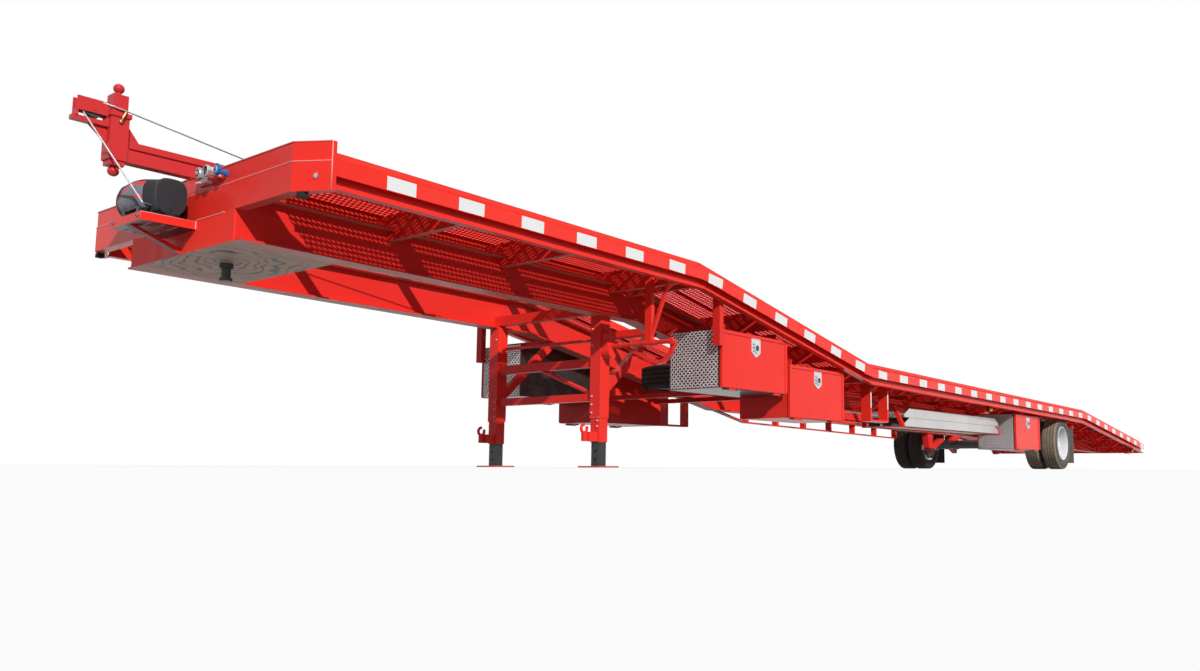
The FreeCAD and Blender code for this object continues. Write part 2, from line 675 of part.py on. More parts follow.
def suspension():
    """Hanger, trailing arm and air spring on each side."""
    y = beam_y
    under = lambda s: deck_z(s) - beam_bottom_off - gap
    a, b = axle_s - 620, axle_s - 430
    hanger = plate([(a, under(a)), (b, under(b)), (axle_s - 470, 285), (axle_s - 580, 285)], y - 45, y + 45)
    arm = plate([(axle_s - 560, 300), (axle_s - 500, 350), (axle_s - 80, tyre_r + axle_tube_r + gap + 30),
                 (axle_s + 480, 300), (axle_s + 480, 240), (axle_s + 110, tyre_r + axle_tube_r + gap - 40),
                 (axle_s, tyre_r + axle_tube_r + gap), (axle_s - 90, tyre_r + axle_tube_r + gap - 40),
                 (axle_s - 480, 240)], y - 38, y + 38)
    hold = Part.makeCylinder(axle_tube_r + gap, 200, V(X(axle_s), y - 100, tyre_r), V(0, 1, 0))
    arm = arm.cut(hold)
    z1 = under(axle_s + 490)
    spring = Part.makeCylinder(110, z1 - 300, V(X(axle_s + 380), y, 300))
    return fuse([hanger, arm, spring])


def mud_flap():
    s = axle_s + 455
    return box(s, s + 8, tyre_outer_y - 488, tyre_outer_y, 90, 590)


def flap_bracket():
    s = axle_s + 455
    return box(s - 2, s + 24, beam_y + beam_web / 2 + gap, tyre_outer_y, 590 + gap, 630)


# spare wheel, ramps and lamps
def spare_wheel():
    t = tyre(tyre_w)
    t.translate(V(-X(axle_s), 0, -tyre_r))
    disc = Part.makeCylinder(rim_r - gap, 12, V(0, 90, 0), V(0, 1, 0))
    rim = Part.makeCylinder(rim_r - gap, tyre_w - 40, V(0, 20, 0), V(0, 1, 0)).cut(
        Part.makeCylinder(rim_r - 12, tyre_w, V(0, 0, 0), V(0, 1, 0)))
    t.rotate(V(0, 0, 0), V(1, 0, 0), 90)
    t.translate(V(X(4490), 0, 700))
    d = fuse([disc, rim])
    d.rotate(V(0, 0, 0), V(1, 0, 0), 90)
    d.translate(V(X(4490), 0, 700))
    return t, d


def spare_rack():
    s0, s1 = 4490 - 400, 4490 + 400
    rails = [box(s0, s1, y, y + 40, 655, 700 - gap) for y in (-220, 180)]
    pieces = list(rails)
    for s in (s0 + 60, s1 - 100):
        pieces.append(box(s, s + 40, 10 - beam_y, beam_y - 10, 615, 655))
        for side in (1, -1):
            y0, y1 = sorted((side * (beam_y - 50), side * (beam_y - 10)))
            pieces.append(plate([(s, 615), (s + 40, 615), (s + 40, deck_z(s + 40) - beam_bottom_off - gap),
                                 (s, deck_z(s) - beam_bottom_off - gap)], y0, y1))
    return fuse(pieces)



def toothed(s0, s1, z0, z1):
    """Outline of a ramp's web: sloping ends and blunt teeth along the top."""
    teeth = round((s1 - s0 - 2 * ramp_nose) / tooth_pitch)
    step_s = (s1 - s0 - 2 * ramp_nose) / teeth
    top = []
    for k in range(teeth):
        a = s0 + ramp_nose + k * step_s
        top += [(a, z1 - tooth_depth), (a + 0.30 * step_s, z1), (a + 0.70 * step_s, z1)]
    return [(s0, z0), (s1, z0), (s1, z0 + 30), (s1 - ramp_nose, z1 - tooth_depth)] + top[::-1] + [(s0, z0 + 30)]


def ramp(z):
    """Aluminium track: flat floor with a toothed web along both edges and two low ribs between."""
    t = 4.0
    z1 = z + ramp_depth
    floor = box(ramp_s0, ramp_s1, ramp_y0, ramp_y1, z, z + t)
    line = toothed(ramp_s0, ramp_s1, z, z1)
    webs = [plate(line, y, y + t) for y in (ramp_y0, ramp_y1 - t)]
    third = (ramp_y1 - ramp_y0) / 3
    ribs = [box(ramp_s0, ramp_s1, y, y + t, z, z + 34) for y in (ramp_y0 + third, ramp_y0 + 2 * third)]
    return fuse([floor] + webs + ribs)


def ramp_rack():
    """Bars that slant down past each end of the ramps, arms to the beam's web, and rails underneath."""
    out = []
    web = beam_y + beam_web / 2 + gap
    low = ramp_z - gap - 10
    side = beam_y + chord_width / 2 + 1
    for s in (ramp_s0 - 48, ramp_s1 + 8):
        high = deck_z(s) - beam_bottom_off + beam_flange_t + gap
        lean = [(ramp_y1 + 20, low), (ramp_y1 - 20, low), (ramp_y1 - 130, high + 60), (ramp_y1 - 90, high + 60)]
        out.append(rib(lean, s, s + 40))
        out.append(box(s, s + 40, web, ramp_y1 - 100, high, high + 60))
    for y in (ramp_y0 + 20, ramp_y1 - 60):
        out.append(box(ramp_s0 - 48, ramp_s1 + 48, y, y + 40, low, ramp_z - gap))
    for s in (ramp_s0 - 48, ramp_s1 + 8):
        out.append(box(s, s + 40, side, ramp_y1 - 30, low, ramp_z - gap))
        out.append(box(s, s + 40, side, side + 32, low, deck_z(s + 40) - beam_bottom_off - gap))
    return fuse(out)


def air_couplings():
    """Two air couplings and a round socket on the front wall's face."""
    pieces = []
    face = wall_step - gap
    for y, z in ((285.0, 1545.0), (485.0, 1530.0)):
        pieces.append(box(-34, face, y - 16, y + 16, z - 16, z + 16))
        pieces.append(rod((-62, y, z), (-34, y, z), 26))
        pieces.append(box(-60, -36, y - 56, y, z - 8, z + 24))
    plate_piece = box(-8, face, 200, 420, 1500, 1525)
    socket = rod((-70, 380, 1548), (face, 380, 1548), 33)
    return Part.makeCompound([fuse([pieces[0], pieces[1], pieces[2]]), fuse(pieces[3:6]), socket])


def lamp_places():
    """Station and height of the lamps that hang under each rail."""
    return [(s, deck_z(s) - rail_height - 28) for s in (8900.0, 15560.0)]


def lamps():
    """Amber lamps under the rails."""
    out = []
    for s, z in lamp_places():
        out += [rod((s, side * (rail_web_y - 43), z), (s, side * (rail_web_y - 17), z), 22) for side in (1, -1)]
    return out


def lamp_brackets():
    """Angles from the rail's web down behind the lamps."""
    y0, y1 = rail_web_y - 83, rail_web_y - 43 - gap
    out = []
    for s, z in lamp_places():
        low = deck_z(s + 28) - rail_height
        piece = fuse([box(s - 28, s + 28, y0, y1, z - 26, low + 40), box(s - 28, s + 28, y0, rail_web_y - gap, low + 34, low + 40)])
        out += [piece, mirrored(piece)]
    return out


def tail_bar():
    s0, s1 = tail_s - 60, tail_s
    z = deck_z(tail_s)
    return box(s0, s1 + 0, -rail_web_y + gap, rail_web_y - gap, z - rail_height, z - 20)


def group(shapes):
    """One compound of all the solids in some shapes."""
    return Part.makeCompound([solid for shape in shapes for solid in shape.Solids])


def build():
    write("main_beams", group([beam(), mirrored(beam())]))
    write("cross_members", cross_members())
    write("outriggers", outriggers())
    write("lower_chords", both(lower_chord()))
    write("side_rails", group([side_rail(), mirrored(side_rail())]))
    write("front_wall", front_wall())
    stops = [wall_end_s] + [s for s, z in deck_line[1:-1]] + [tail_s - 62]
    write("runways", group([runway(a, b) for a, b in zip(stops, stops[1:])]))
    write("coupler_plate", coupler())
    write("kingpin", kingpin())
    write("winch_tray", winch_tray())
    write("winch", winch())
    write("winch_cover", winch_cover())
    write("boom", boom())
    write("boom_post", boom_post())
    write("boom_bracket", boom_bracket())
    write("sheave", sheave())
    write("air_couplings", air_couplings())
    write("legs", both(leg()))
    write("feet", both(leg_foot()))
    write("leg_bracing", group([leg_braces(), leg_bracing()]))
    write("leg_crank", crank())
    write("crank_hanger", crank_hanger())
    hangers = [corner_post(0.0), mirrored(corner_post(right_shift))]
    for name, s, z in (("front", tool_front_s, tool_front_z), ("middle", tool_mid_s, tool_mid_z),
                       ("rear", tool_rear_s, tool_rear_z)):
        write("door_%s_left" % name, tool_door(s, z))
        hangers += tool_hanger(s, z)
        if name == "rear":
            write("toolboxes_rear", toolbox(s, z))
            continue
        far = s + right_shift
        write("toolboxes_%s" % name, group([toolbox(s, z), mirrored(toolbox(far, z))]))
        write("door_%s_right" % name, mirrored(tool_door(far, z)))
        hangers += [mirrored(piece) for piece in tool_hanger(far, z)]
    write("toolbox_hangers", Part.makeCompound(hangers))
    write("steps", group([step(0.0), mirrored(step(right_shift))]))
    tyres = [tyre(tyre_outer_y), tyre(tyre_outer_y - dual_pitch)]
    write("tyres_left", Part.makeCompound(tyres))
    write("tyres_right", Part.makeCompound([mirrored(t) for t in tyres]))
    write("wheels_left", wheel())
    write("wheels_right", mirrored(wheel()))
    write("axle", axle())
    write("suspension", both(suspension()))
    write("mud_flaps", both(mud_flap()))
    write("flap_brackets", both(flap_bracket()))
    spare, disc = spare_wheel()
    write("spare_tyre", spare)
    write("spare_rim", disc)
    write("spare_rack", spare_rack())
    write("ramps", Part.makeCompound([ramp(ramp_z), ramp(ramp_z + ramp_depth + gap)]))
    write("ramp_rack", ramp_rack())
    write("tail_bar", tail_bar())
    write("lamps", Part.makeCompound(lamps()))
    write("lamp_brackets", Part.makeCompound(lamp_brackets()))


build()
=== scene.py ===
import random
from math import copysign, cos, hypot, pi, radians, sin, sqrt

import bmesh
import bpy
from mathutils import Matrix, Vector


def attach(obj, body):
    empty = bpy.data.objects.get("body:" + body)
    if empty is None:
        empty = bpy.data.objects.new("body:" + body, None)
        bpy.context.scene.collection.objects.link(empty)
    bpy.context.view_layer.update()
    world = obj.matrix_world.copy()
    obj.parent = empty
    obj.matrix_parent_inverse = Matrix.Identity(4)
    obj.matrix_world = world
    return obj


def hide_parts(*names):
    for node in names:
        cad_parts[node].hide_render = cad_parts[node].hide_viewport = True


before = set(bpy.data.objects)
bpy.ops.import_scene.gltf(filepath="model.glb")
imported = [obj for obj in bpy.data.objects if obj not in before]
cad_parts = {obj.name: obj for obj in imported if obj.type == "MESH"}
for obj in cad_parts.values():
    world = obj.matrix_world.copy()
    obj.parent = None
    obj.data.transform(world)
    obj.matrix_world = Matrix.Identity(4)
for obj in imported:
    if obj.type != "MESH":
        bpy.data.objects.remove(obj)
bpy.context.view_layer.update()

# Car transporter semi-trailer. Metres, X forward, Y to the left, Z up. Stations are written
# as s, the distance rearward from the front wall, as on the builder's side view.

trailer = {
    "frontX": 7.7625, "tail": 16.1, "halfWidth": 1.2955, "railWeb": 1.243,
    "deckLine": [(0.1, 1.4875), (3.103, 1.445), (5.740, 0.933), (12.616, 0.833), (16.1, 0.441)],
    "wallEnd": 0.130,
    "plankRise": 0.048, "plankSeat": 0.017,
    "runwayInner": 0.420, "runwayOuter": 1.2427,
}
bothSides = (("left", 1), ("right", -1))
pole = 0.0001       # radius at the closed ends of turned shapes
fit = 0.0003        # gap between plates that meet


def atX(s):
    return trailer["frontX"] - s


def deckHeight(s):
    line = trailer["deckLine"]
    for (a, za), (b, zb) in zip(line, line[1:]):
        if s <= b or b == line[-1][0]:
            return za + (zb - za) * (s - a) / (b - a)


# Mesh object from bm. With smooth None each face keeps its own shading.
def fromBmesh(name, bm, *materials, smooth=False, turned=True):
    mesh = bpy.data.meshes.new(name)
    if turned:
        bmesh.ops.recalc_face_normals(bm, faces=bm.faces)
    bm.to_mesh(mesh)
    bm.free()
    for material in materials:
        mesh.materials.append(material)
    if smooth is not None:
        for face in mesh.polygons:
            face.use_smooth = smooth
    piece = bpy.data.objects.new(name, mesh)
    bpy.context.scene.collection.objects.link(piece)
    return piece


# What a piece rides on, and the nodes that it stands for, which it hides. slot, the slot of its finish, is
# not used.
def settle(piece, slot, *nodes, body="chassis"):
    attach(piece, body)
    if nodes:
        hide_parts(*nodes)


def addFace(bm, points, order=1):
    return bm.faces.new([bm.verts.new(p) for p in points][::order])


# Faces between neighbouring rings of vertices, with each face's place round the ring.
def skin(bm, rings, around=True, looped=False, material=0):
    made = []
    for one, two in zip(rings, rings[1:] + (rings[:1] if looped else [])):
        for i in range(len(one) if around else len(one) - 1):
            j = (i + 1) % len(one)
            face = bm.faces.new((one[i], one[j], two[j], two[i]))
            face.material_index = material
            made.append((i, face))
    return made


# One box between two opposite corners, with its edges eased.
def addBlock(bm, one, two, bevel=0.0, material=0):
    low, high = ([pick(pair) for pair in zip(one, two)] for pick in (min, max))
    made = bmesh.ops.create_cube(bm, size=1.0)["verts"]
    bmesh.ops.scale(bm, vec=[b - a for a, b in zip(low, high)], verts=made)
    bmesh.ops.translate(bm, vec=[(a + b) / 2 for a, b in zip(low, high)], verts=made)
    if bevel:
        edges = list({e for v in made for e in v.link_edges})
        made = bmesh.ops.bevel(bm, geom=edges, offset=bevel, segments=2, affect="EDGES", profile=0.5)["verts"]
    for face in {f for v in made for f in v.link_faces}:
        face.material_index = material


def anglesOf(parts, count=None, start=0.0):
    return [2 * pi * (k + start) / parts for k in range(count or parts)]


# Shape turned about the X or Y axis through centre, from (radius, along) points. A hollow one
# is a closed ring. Any other has its two ends closed.
def addLathe(bm, profile, turns, centre, axis="Y", material=0, hollow=False, flip=1):
    rings = []
    for a in anglesOf(turns):
        ring = [(r * cos(a), flip * t, r * sin(a)) if axis == "Y" else (flip * t, r * cos(a), r * sin(a))
                for r, t in profile]
        rings.append([bm.verts.new(Vector(p) + Vector(centre)) for p in ring])
    skin(bm, rings, hollow, True, material)
    if not hollow:
        for end in ([ring[0] for ring in rings[::-1]], [ring[-1] for ring in rings]):
            bm.faces.new(end).material_index = material


# Place, side and other side at each point of a path, turned as little as possible.
def framesAlong(points):
    made, side = [], None
    for i, p in enumerate(points):
        ahead = (points[min(i + 1, len(points) - 1)] - points[max(i - 1, 0)]).normalized()
        if side is None:
            side = ahead.orthogonal().normalized()
        side = (side - ahead * side.dot(ahead)).normalized()
        made.append((p, side, ahead.cross(side)))
    return made


def addTube(bm, points, radius, sides=10, material=0, capped=True):
    rings = []
    for i, (p, side, other) in enumerate(framesAlong([Vector(p) for p in points])):
        r = radius[i] if hasattr(radius, "__len__") else radius
        rings.append([bm.verts.new(p + side * r * cos(a) + other * r * sin(a)) for a in anglesOf(sides)])
    skin(bm, rings, material=material)
    if capped:
        for ring in (rings[0][::-1], rings[-1]):
            bm.faces.new(ring).material_index = material


# Flat outline pushed through depth. toPoint turns (u, v, w) into a place.
def addPrism(bm, outline, toPoint, depth, material=0):
    low, high = ([bm.verts.new(toPoint(u, v, w)) for u, v in outline] for w in (0.0, depth))
    for end in (low[::-1], high):
        bm.faces.new(end).material_index = material
    skin(bm, [low, high], material=material)


def joinPieces(name, pieces):
    bpy.context.view_layer.update()
    with bpy.context.temp_override(active_object=pieces[0], object=pieces[0], selected_objects=pieces,
                                   selected_editable_objects=pieces):
        bpy.ops.object.join()
    pieces[0].name = name
    return pieces[0]


def dropObject(piece):
    mesh = piece.data
    bpy.data.objects.remove(piece)
    bpy.data.meshes.remove(mesh)


# Turns a piece with modifiers into the plain mesh that they make.
def makePlain(piece):
    bpy.context.view_layer.update()
    made = bpy.data.meshes.new_from_object(piece.evaluated_get(bpy.context.evaluated_depsgraph_get()))
    piece.modifiers.clear()
    old = piece.data
    piece.data = made
    bpy.data.meshes.remove(old)


# Adds a shader or geometry node, sets it up and wires what is given as a socket.
def shade(tree, kind, inputs=None, **settings):
    node = tree.nodes.new(kind)
    for key, value in settings.items():
        setattr(node, key, value)
    for key, value in (inputs or {}).items():
        if isinstance(value, bpy.types.NodeSocket):
            tree.links.new(value, node.inputs[key])
        else:
            node.inputs[key].default_value = value
    return node


def scaled(colour, by, plus=0.0):
    return tuple(c * by + plus for c in colour)


# One material: plain values go to its shader, the rest adds nodes and gives their sockets.
class Finish:
    def __init__(self, name, **values):
        self.material = bpy.data.materials.new(name)
        self.material.use_nodes = True
        self.tree = self.material.node_tree
        self.shader = self.tree.nodes["Principled BSDF"]
        for key, value in values.items():
            self.shader.inputs[key.replace("_", " ")].default_value = value
        self.place = self.coords()

    def add(self, kind, inputs=None, out=0, **settings):
        return shade(self.tree, "ShaderNode" + kind, inputs, **settings).outputs[out]

    def coords(self, scale=(1.0, 1.0, 1.0)):
        return self.add("Mapping", {"Vector": self.add("TexCoord", out="Object"), "Scale": scale})

    def noise(self, scale, detail=3.0, rough=0.55, place=None):
        return self.add("TexNoise", {"Vector": place or self.place, "Scale": scale, "Detail": detail,
                                     "Roughness": rough}, "Fac")

    def calc(self, operation, *values):
        return self.add("Math", dict(enumerate(values)), operation=operation)

    # how far the face looks up, from -1 to 1
    def facing(self):
        return self.add("SeparateXYZ", {0: self.add("NewGeometry", out="Normal")}, 2)

    # stretches a 0 to 1 value between two others
    def spread(self, value, low, high):
        return self.add("MapRange", {"Value": value, "To Min": low, "To Max": high})

    # colour ramp from (position, brightness) stops
    def ramp(self, value, *stops):
        node = shade(self.tree, "ShaderNodeValToRGB", {"Fac": value})
        for element, (position, level) in zip(node.color_ramp.elements, stops):
            element.position = position
            element.color = (level, level, level, 1.0)
        return node.outputs["Color"]

    # mixes two colours, each a tuple or a socket
    def mix(self, factor, a, b, blend="MIX"):
        values = [(*v, 1.0) if isinstance(v, tuple) else v for v in (factor, a, b)]
        return self.add("Mix", dict(zip((0, 6, 7), values)), 2, data_type="RGBA", blend_type=blend)

    def link(self, socket, name):
        self.tree.links.new(socket, self.shader.inputs[name])

    def done(self, colour, rough, height, strength, distance):
        self.link(colour, "Base Color")
        if rough:
            self.link(rough, "Roughness")
        self.link(self.add("Bump", {"Height": height, "Strength": strength, "Distance": distance}), "Normal")
        return self.material


redColour = (0.84, 0.032, 0.019)


# Sprayed gloss paint over steel, with orange peel, cloudy tone and road film. Faces that look down take the
# dust colour: tan dust by default, painted shade where a dark colour is given.
def paintFinish(name, colour, dusty=0.0, rough=0.30, below=0.0, dust=(0.42, 0.24, 0.17)):
    # the gloss is tinted blue: painted reflection of a blue sky
    f = Finish(name, Coat_Weight=0.05, Coat_Roughness=0.08, Specular_IOR_Level=0.16,
               Specular_Tint=(0.60, 0.63, 1.0, 1.0))
    tone = f.mix(f.noise(1.7, 4.0), scaled(colour, 0.80), colour)
    specks = f.ramp(f.noise(46.0, 5.0, 0.7), (0.58, 0.0), (0.78, 1.0))
    film = f.mix(f.spread(specks, 0.0, 0.10 + dusty), tone, (0.30, 0.20, 0.15))
    if below:
        under = f.add("MapRange", {"Value": f.facing(), "From Min": -0.6, "From Max": -0.95, "To Max": below})
        film = f.mix(under, film, dust)
    gloss = f.spread(f.noise(9.0, 4.0), rough - 0.07, rough + 0.10 + dusty)
    return f.done(film, gloss, f.noise(240.0, 2.0), 0.05, 0.002)


# Black inner tubes of the legs, with the foot plates in red below.
def footFinish(name, plateTop):
    f = Finish(name, Specular_IOR_Level=0.35)
    tube = f.calc("GREATER_THAN", f.add("SeparateXYZ", {0: f.place}, 2), plateTop)
    dust = f.ramp(f.noise(26.0, 5.0, 0.7), (0.45, 0.0), (0.75, 1.0))
    plate = f.mix(f.spread(dust, 0.15, 0.6), (0.52, 0.035, 0.025), (0.34, 0.20, 0.15))
    black = f.mix(f.spread(dust, 0.0, 0.25), (0.020, 0.020, 0.022), (0.12, 0.10, 0.09))
    return f.done(f.mix(tube, plate, black), f.spread(dust, 0.38, 0.66), dust, 0.08, 0.001)


# Mill or cast metal, grained one way and slightly stained, dull below where under is given.
def bareMetal(name, colour, rough, stretch=(1.0, 1.0, 1.0), stain=0.25, grain=60.0, metallic=0.9, under=None):
    f = Finish(name, Metallic=metallic)
    lines = f.noise(grain, 5.0, 0.6, f.coords(stretch))
    blots = f.ramp(f.noise(3.1, 5.0, 0.65), (0.35, 0.0), (0.75, 1.0))
    tone = f.mix(lines, scaled(colour, 0.82), colour)
    worn = f.mix(f.spread(blots, 0.0, stain), tone, scaled(colour, 0.45))
    if under:
        down = f.calc("LESS_THAN", f.facing(), -0.7)
        worn = f.mix(down, worn, under)
        f.link(f.spread(down, metallic, 0.1), "Metallic")
    return f.done(worn, f.spread(lines, rough - 0.06, rough + 0.14), lines, 0.12, 0.001)


# Rubber with dust that settles in patches.
def rubberFinish(name, colour, dust, share):
    f = Finish(name, Specular_IOR_Level=0.25)
    patch = f.ramp(f.noise(7.0, 6.0, 0.65), (0.5 - share / 2, 0.0), (0.62, 1.0))
    grit = f.noise(110.0, 4.0, 0.7)
    tone = f.mix(f.spread(patch, share * 0.55, share), colour, dust)
    speckled = f.mix(f.spread(grit, 0.0, 0.35), tone, scaled(colour, 0.6))
    return f.done(speckled, f.spread(grit, 0.68, 0.92), grit, 0.25, 0.0012)


# Coated woven cloth, threads in two directions, faded in the folds.
def clothFinish(name, colour):
    f = Finish(name, Sheen_Weight=0.25, Sheen_Roughness=0.5, Specular_IOR_Level=0.2)
    threads = [f.add("TexWave", {"Vector": f.place, "Scale": 75.0, "Distortion": 0.6, "Detail": 1.0}, "Fac",
                     bands_direction=direction) for direction in ("X", "Z")]
    weave = f.calc("MAXIMUM", *threads)
    fade = f.noise(11.0, 5.0, 0.6)
    tone = f.mix(fade, scaled(colour, 0.7), scaled(colour, 1.6))
    lit = f.mix(f.spread(weave, 0.0, 0.25), tone, scaled(colour, 2.2, 0.01))
    return f.done(lit, f.spread(fade, 0.62, 0.85), weave, 0.25, 0.0008)


# Coupler plate: worn paint under smears of grease that circle the pin.
def greasyFinish(name, centre):
    f = Finish(name, Specular_IOR_Level=0.30)
    moved = f.add("Mapping", {"Vector": f.place, "Location": scaled(centre, -1.0)})
    flat = f.add("VectorMath", {0: moved, 1: (1.0, 0.78, 0.0)}, operation="MULTIPLY")
    reach = f.add("VectorMath", {0: flat}, "Value", operation="LENGTH")
    swirl = f.calc("MULTIPLY_ADD", f.noise(5.0, 2.0, 0.4, flat), 0.26, reach)
    waves = f.calc("SINE", f.calc("MULTIPLY", swirl, 112.0))
    broken = f.calc("MULTIPLY", waves, f.spread(f.noise(9.0, 4.0, 0.7, flat), -0.5, 2.1))
    smear = f.ramp(broken, (0.30, 0.0), (0.66, 1.0))
    mask = f.mix(1.0, smear, f.ramp(reach, (0.30, 1.0), (0.44, 0.0)), "MULTIPLY")
    film = f.mix(f.noise(5.0, 5.0, 0.65, f.coords((1.0, 3.0, 1.0))), (0.40, 0.24, 0.18), (0.64, 0.47, 0.38))
    below = f.mix(f.spread(mask, 0.0, 0.98), film, (0.010, 0.009, 0.007))
    tone = f.mix(f.calc("LESS_THAN", f.facing(), -0.7), redColour, below)
    return f.done(tone, f.spread(mask, 0.60, 0.50), mask, 0.2, 0.002)


# Retroreflective tape: tiny sealed cells in rows, with joints between them.
def tapeFinish(name, colour):
    f = Finish(name, Coat_Weight=0.04, Coat_Roughness=0.08, Specular_IOR_Level=0.18)
    cells = f.add("TexVoronoi", {"Vector": f.place, "Scale": 210.0}, "Distance", feature="DISTANCE_TO_EDGE")
    edge = f.ramp(cells, (0.0, 0.0), (0.10, 1.0))
    return f.done(f.mix(edge, scaled(colour, 0.78), colour), f.spread(edge, 0.45, 0.22), edge, 0.15, 0.0004)


# Ribbed lamp lens.
def lensFinish(name, colour):
    f = Finish(name, Roughness=0.16, Coat_Weight=0.3, Specular_IOR_Level=0.3)
    ribs = f.add("TexWave", {"Vector": f.place, "Scale": 90.0}, "Fac", bands_direction="X")
    return f.done(f.mix(ribs, scaled(colour, 0.7), colour), None, ribs, 0.3, 0.001)


redPaint = paintFinish("redPaint", redColour, below=0.35)
redRail = paintFinish("redPaintRail", redColour, below=0.06)
# faces that look down take a dark maroon here: painted shade under the tray
redTrayPaintedShade = paintFinish("redPaintTrayPaintedShade", redColour, below=0.92, dust=(0.05, 0.004, 0.006))
# darker red than the rest of the paint: painted shade on the boom, its post, its bracket and the bars on it;
# also rougher, with more dust specks
redBoomPaintedShade = paintFinish("redPaintBoomPaintedShade", (0.60, 0.034, 0.034), dusty=0.05, rough=0.40, below=0.50)
# pale pink on weld beads, rounded edges and the leg bolts: painted highlight
paleWeldHighlight = paintFinish("redPaintWeldsPaintedHighlight", (0.92, 0.31, 0.30))
redFilm = paintFinish("redPaintRoad", (0.76, 0.028, 0.019), dusty=0.10, rough=0.36, below=0.62)
redGrip = paintFinish("redPaintGrip", (0.84, 0.042, 0.024), dusty=0.05, rough=0.42)
whitePaint = paintFinish("whiteWheelPaint", (0.72, 0.73, 0.74), dusty=0.02, rough=0.28)
bluePaint = paintFinish("bluePaint", (0.03, 0.16, 0.45), rough=0.34)
# two copies of one metal: the plate near black as painted shade, the lozenges near white as painted highlight
plateMetalPaintedShade = bareMetal("treadPlateMetalPaintedShade", (0.135, 0.105, 0.110), 0.26, stain=0.35, grain=34.0, metallic=0.80)
lozengeMetalPaintedHighlight = bareMetal("lozengeMetalPaintedHighlight", (0.92, 0.90, 0.90), 0.18, stain=0.15, grain=34.0, metallic=0.45)
rampMetal = bareMetal("rampMetal", (0.70, 0.69, 0.68), 0.36, (0.12, 1.0, 1.0), stain=0.22, grain=80.0,
                      metallic=0.75, under=(0.50, 0.37, 0.27))
chromeMetal = bareMetal("latchMetal", (0.70, 0.71, 0.73), 0.18, stain=0.1, metallic=0.35)
ropeMetal = bareMetal("ropeMetal", (0.50, 0.50, 0.52), 0.34, stain=0.3, grain=300.0)
castMetal = bareMetal("castMetal", (0.60, 0.60, 0.61), 0.38, stain=0.3, metallic=0.75)
darkIron = bareMetal("darkIron", (0.060, 0.058, 0.060), 0.42, stain=0.4, metallic=0.6)
zincMetal = bareMetal("yellowZinc", (0.62, 0.47, 0.18), 0.30)
treadRubber = rubberFinish("treadRubber", (0.060, 0.050, 0.040), (0.33, 0.255, 0.18), 0.85)
# darker rubber and dust for the far tyres' tread: painted shade
farRubberPaintedShade = rubberFinish("farTreadRubberPaintedShade", (0.040, 0.036, 0.033), (0.13, 0.105, 0.08), 0.45)
sideRubber = rubberFinish("sidewallRubber", (0.050, 0.048, 0.048), (0.22, 0.19, 0.16), 0.35)
spareRubber = rubberFinish("spareRubber", (0.018, 0.017, 0.018), (0.10, 0.08, 0.06), 0.20)
flapRubber = rubberFinish("flapRubber", (0.10, 0.10, 0.10), (0.30, 0.28, 0.25), 0.55)
sealRubber = rubberFinish("sealRubber", (0.012, 0.012, 0.013), (0.06, 0.06, 0.06), 0.2)
coverCloth = clothFinish("coverCloth", (0.013, 0.0125, 0.016))
panelCloth = clothFinish("panelCloth", (0.11, 0.12, 0.15))
redCloth = clothFinish("redPipingCloth", (0.45, 0.03, 0.035))
greasyPlate = greasyFinish("greasyPlate", (atX(0.268), 0.0, 1.153))
whiteTape = tapeFinish("whiteTape", (0.71, 0.72, 0.72))
redTape = tapeFinish("redTape", (0.82, 0.035, 0.022))
amberLens = lensFinish("amberLens", (0.95, 0.34, 0.02))
feetPaint = footFinish("feetPaint", 0.0125)

nodeFinish = {
    redRail: "side_rails",
    redTrayPaintedShade: "winch_tray",
    redBoomPaintedShade: "boom boom_post boom_bracket",
    redPaint: "front_wall legs leg_crank crank_hanger steps toolboxes_middle door_front_left "
              "door_front_right door_middle_left door_middle_right door_rear_left tail_bar",
    redFilm: "main_beams cross_members outriggers lower_chords leg_bracing toolbox_hangers suspension "
             "flap_brackets spare_rack ramp_rack lamp_brackets",
    redGrip: "runways",
    whitePaint: "wheels_left wheels_right spare_rim",
    plateMetalPaintedShade: "toolboxes_front toolboxes_rear",
    rampMetal: "ramps",
    sideRubber: "tyres_left tyres_right",
    spareRubber: "spare_tyre",
    flapRubber: "mud_flaps",
    coverCloth: "winch_cover",
    darkIron: "winch kingpin axle sheave",
    feetPaint: "feet",
    castMetal: "air_couplings",
    greasyPlate: "coupler_plate",
    amberLens: "lamps",
}
for finish, names in nodeFinish.items():
    for name in names.split():
        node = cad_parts[name]
        if not node.material_slots:
            node.data.materials.append(finish)
        for place in node.material_slots:
            place.material = finish
print("finishes ready")


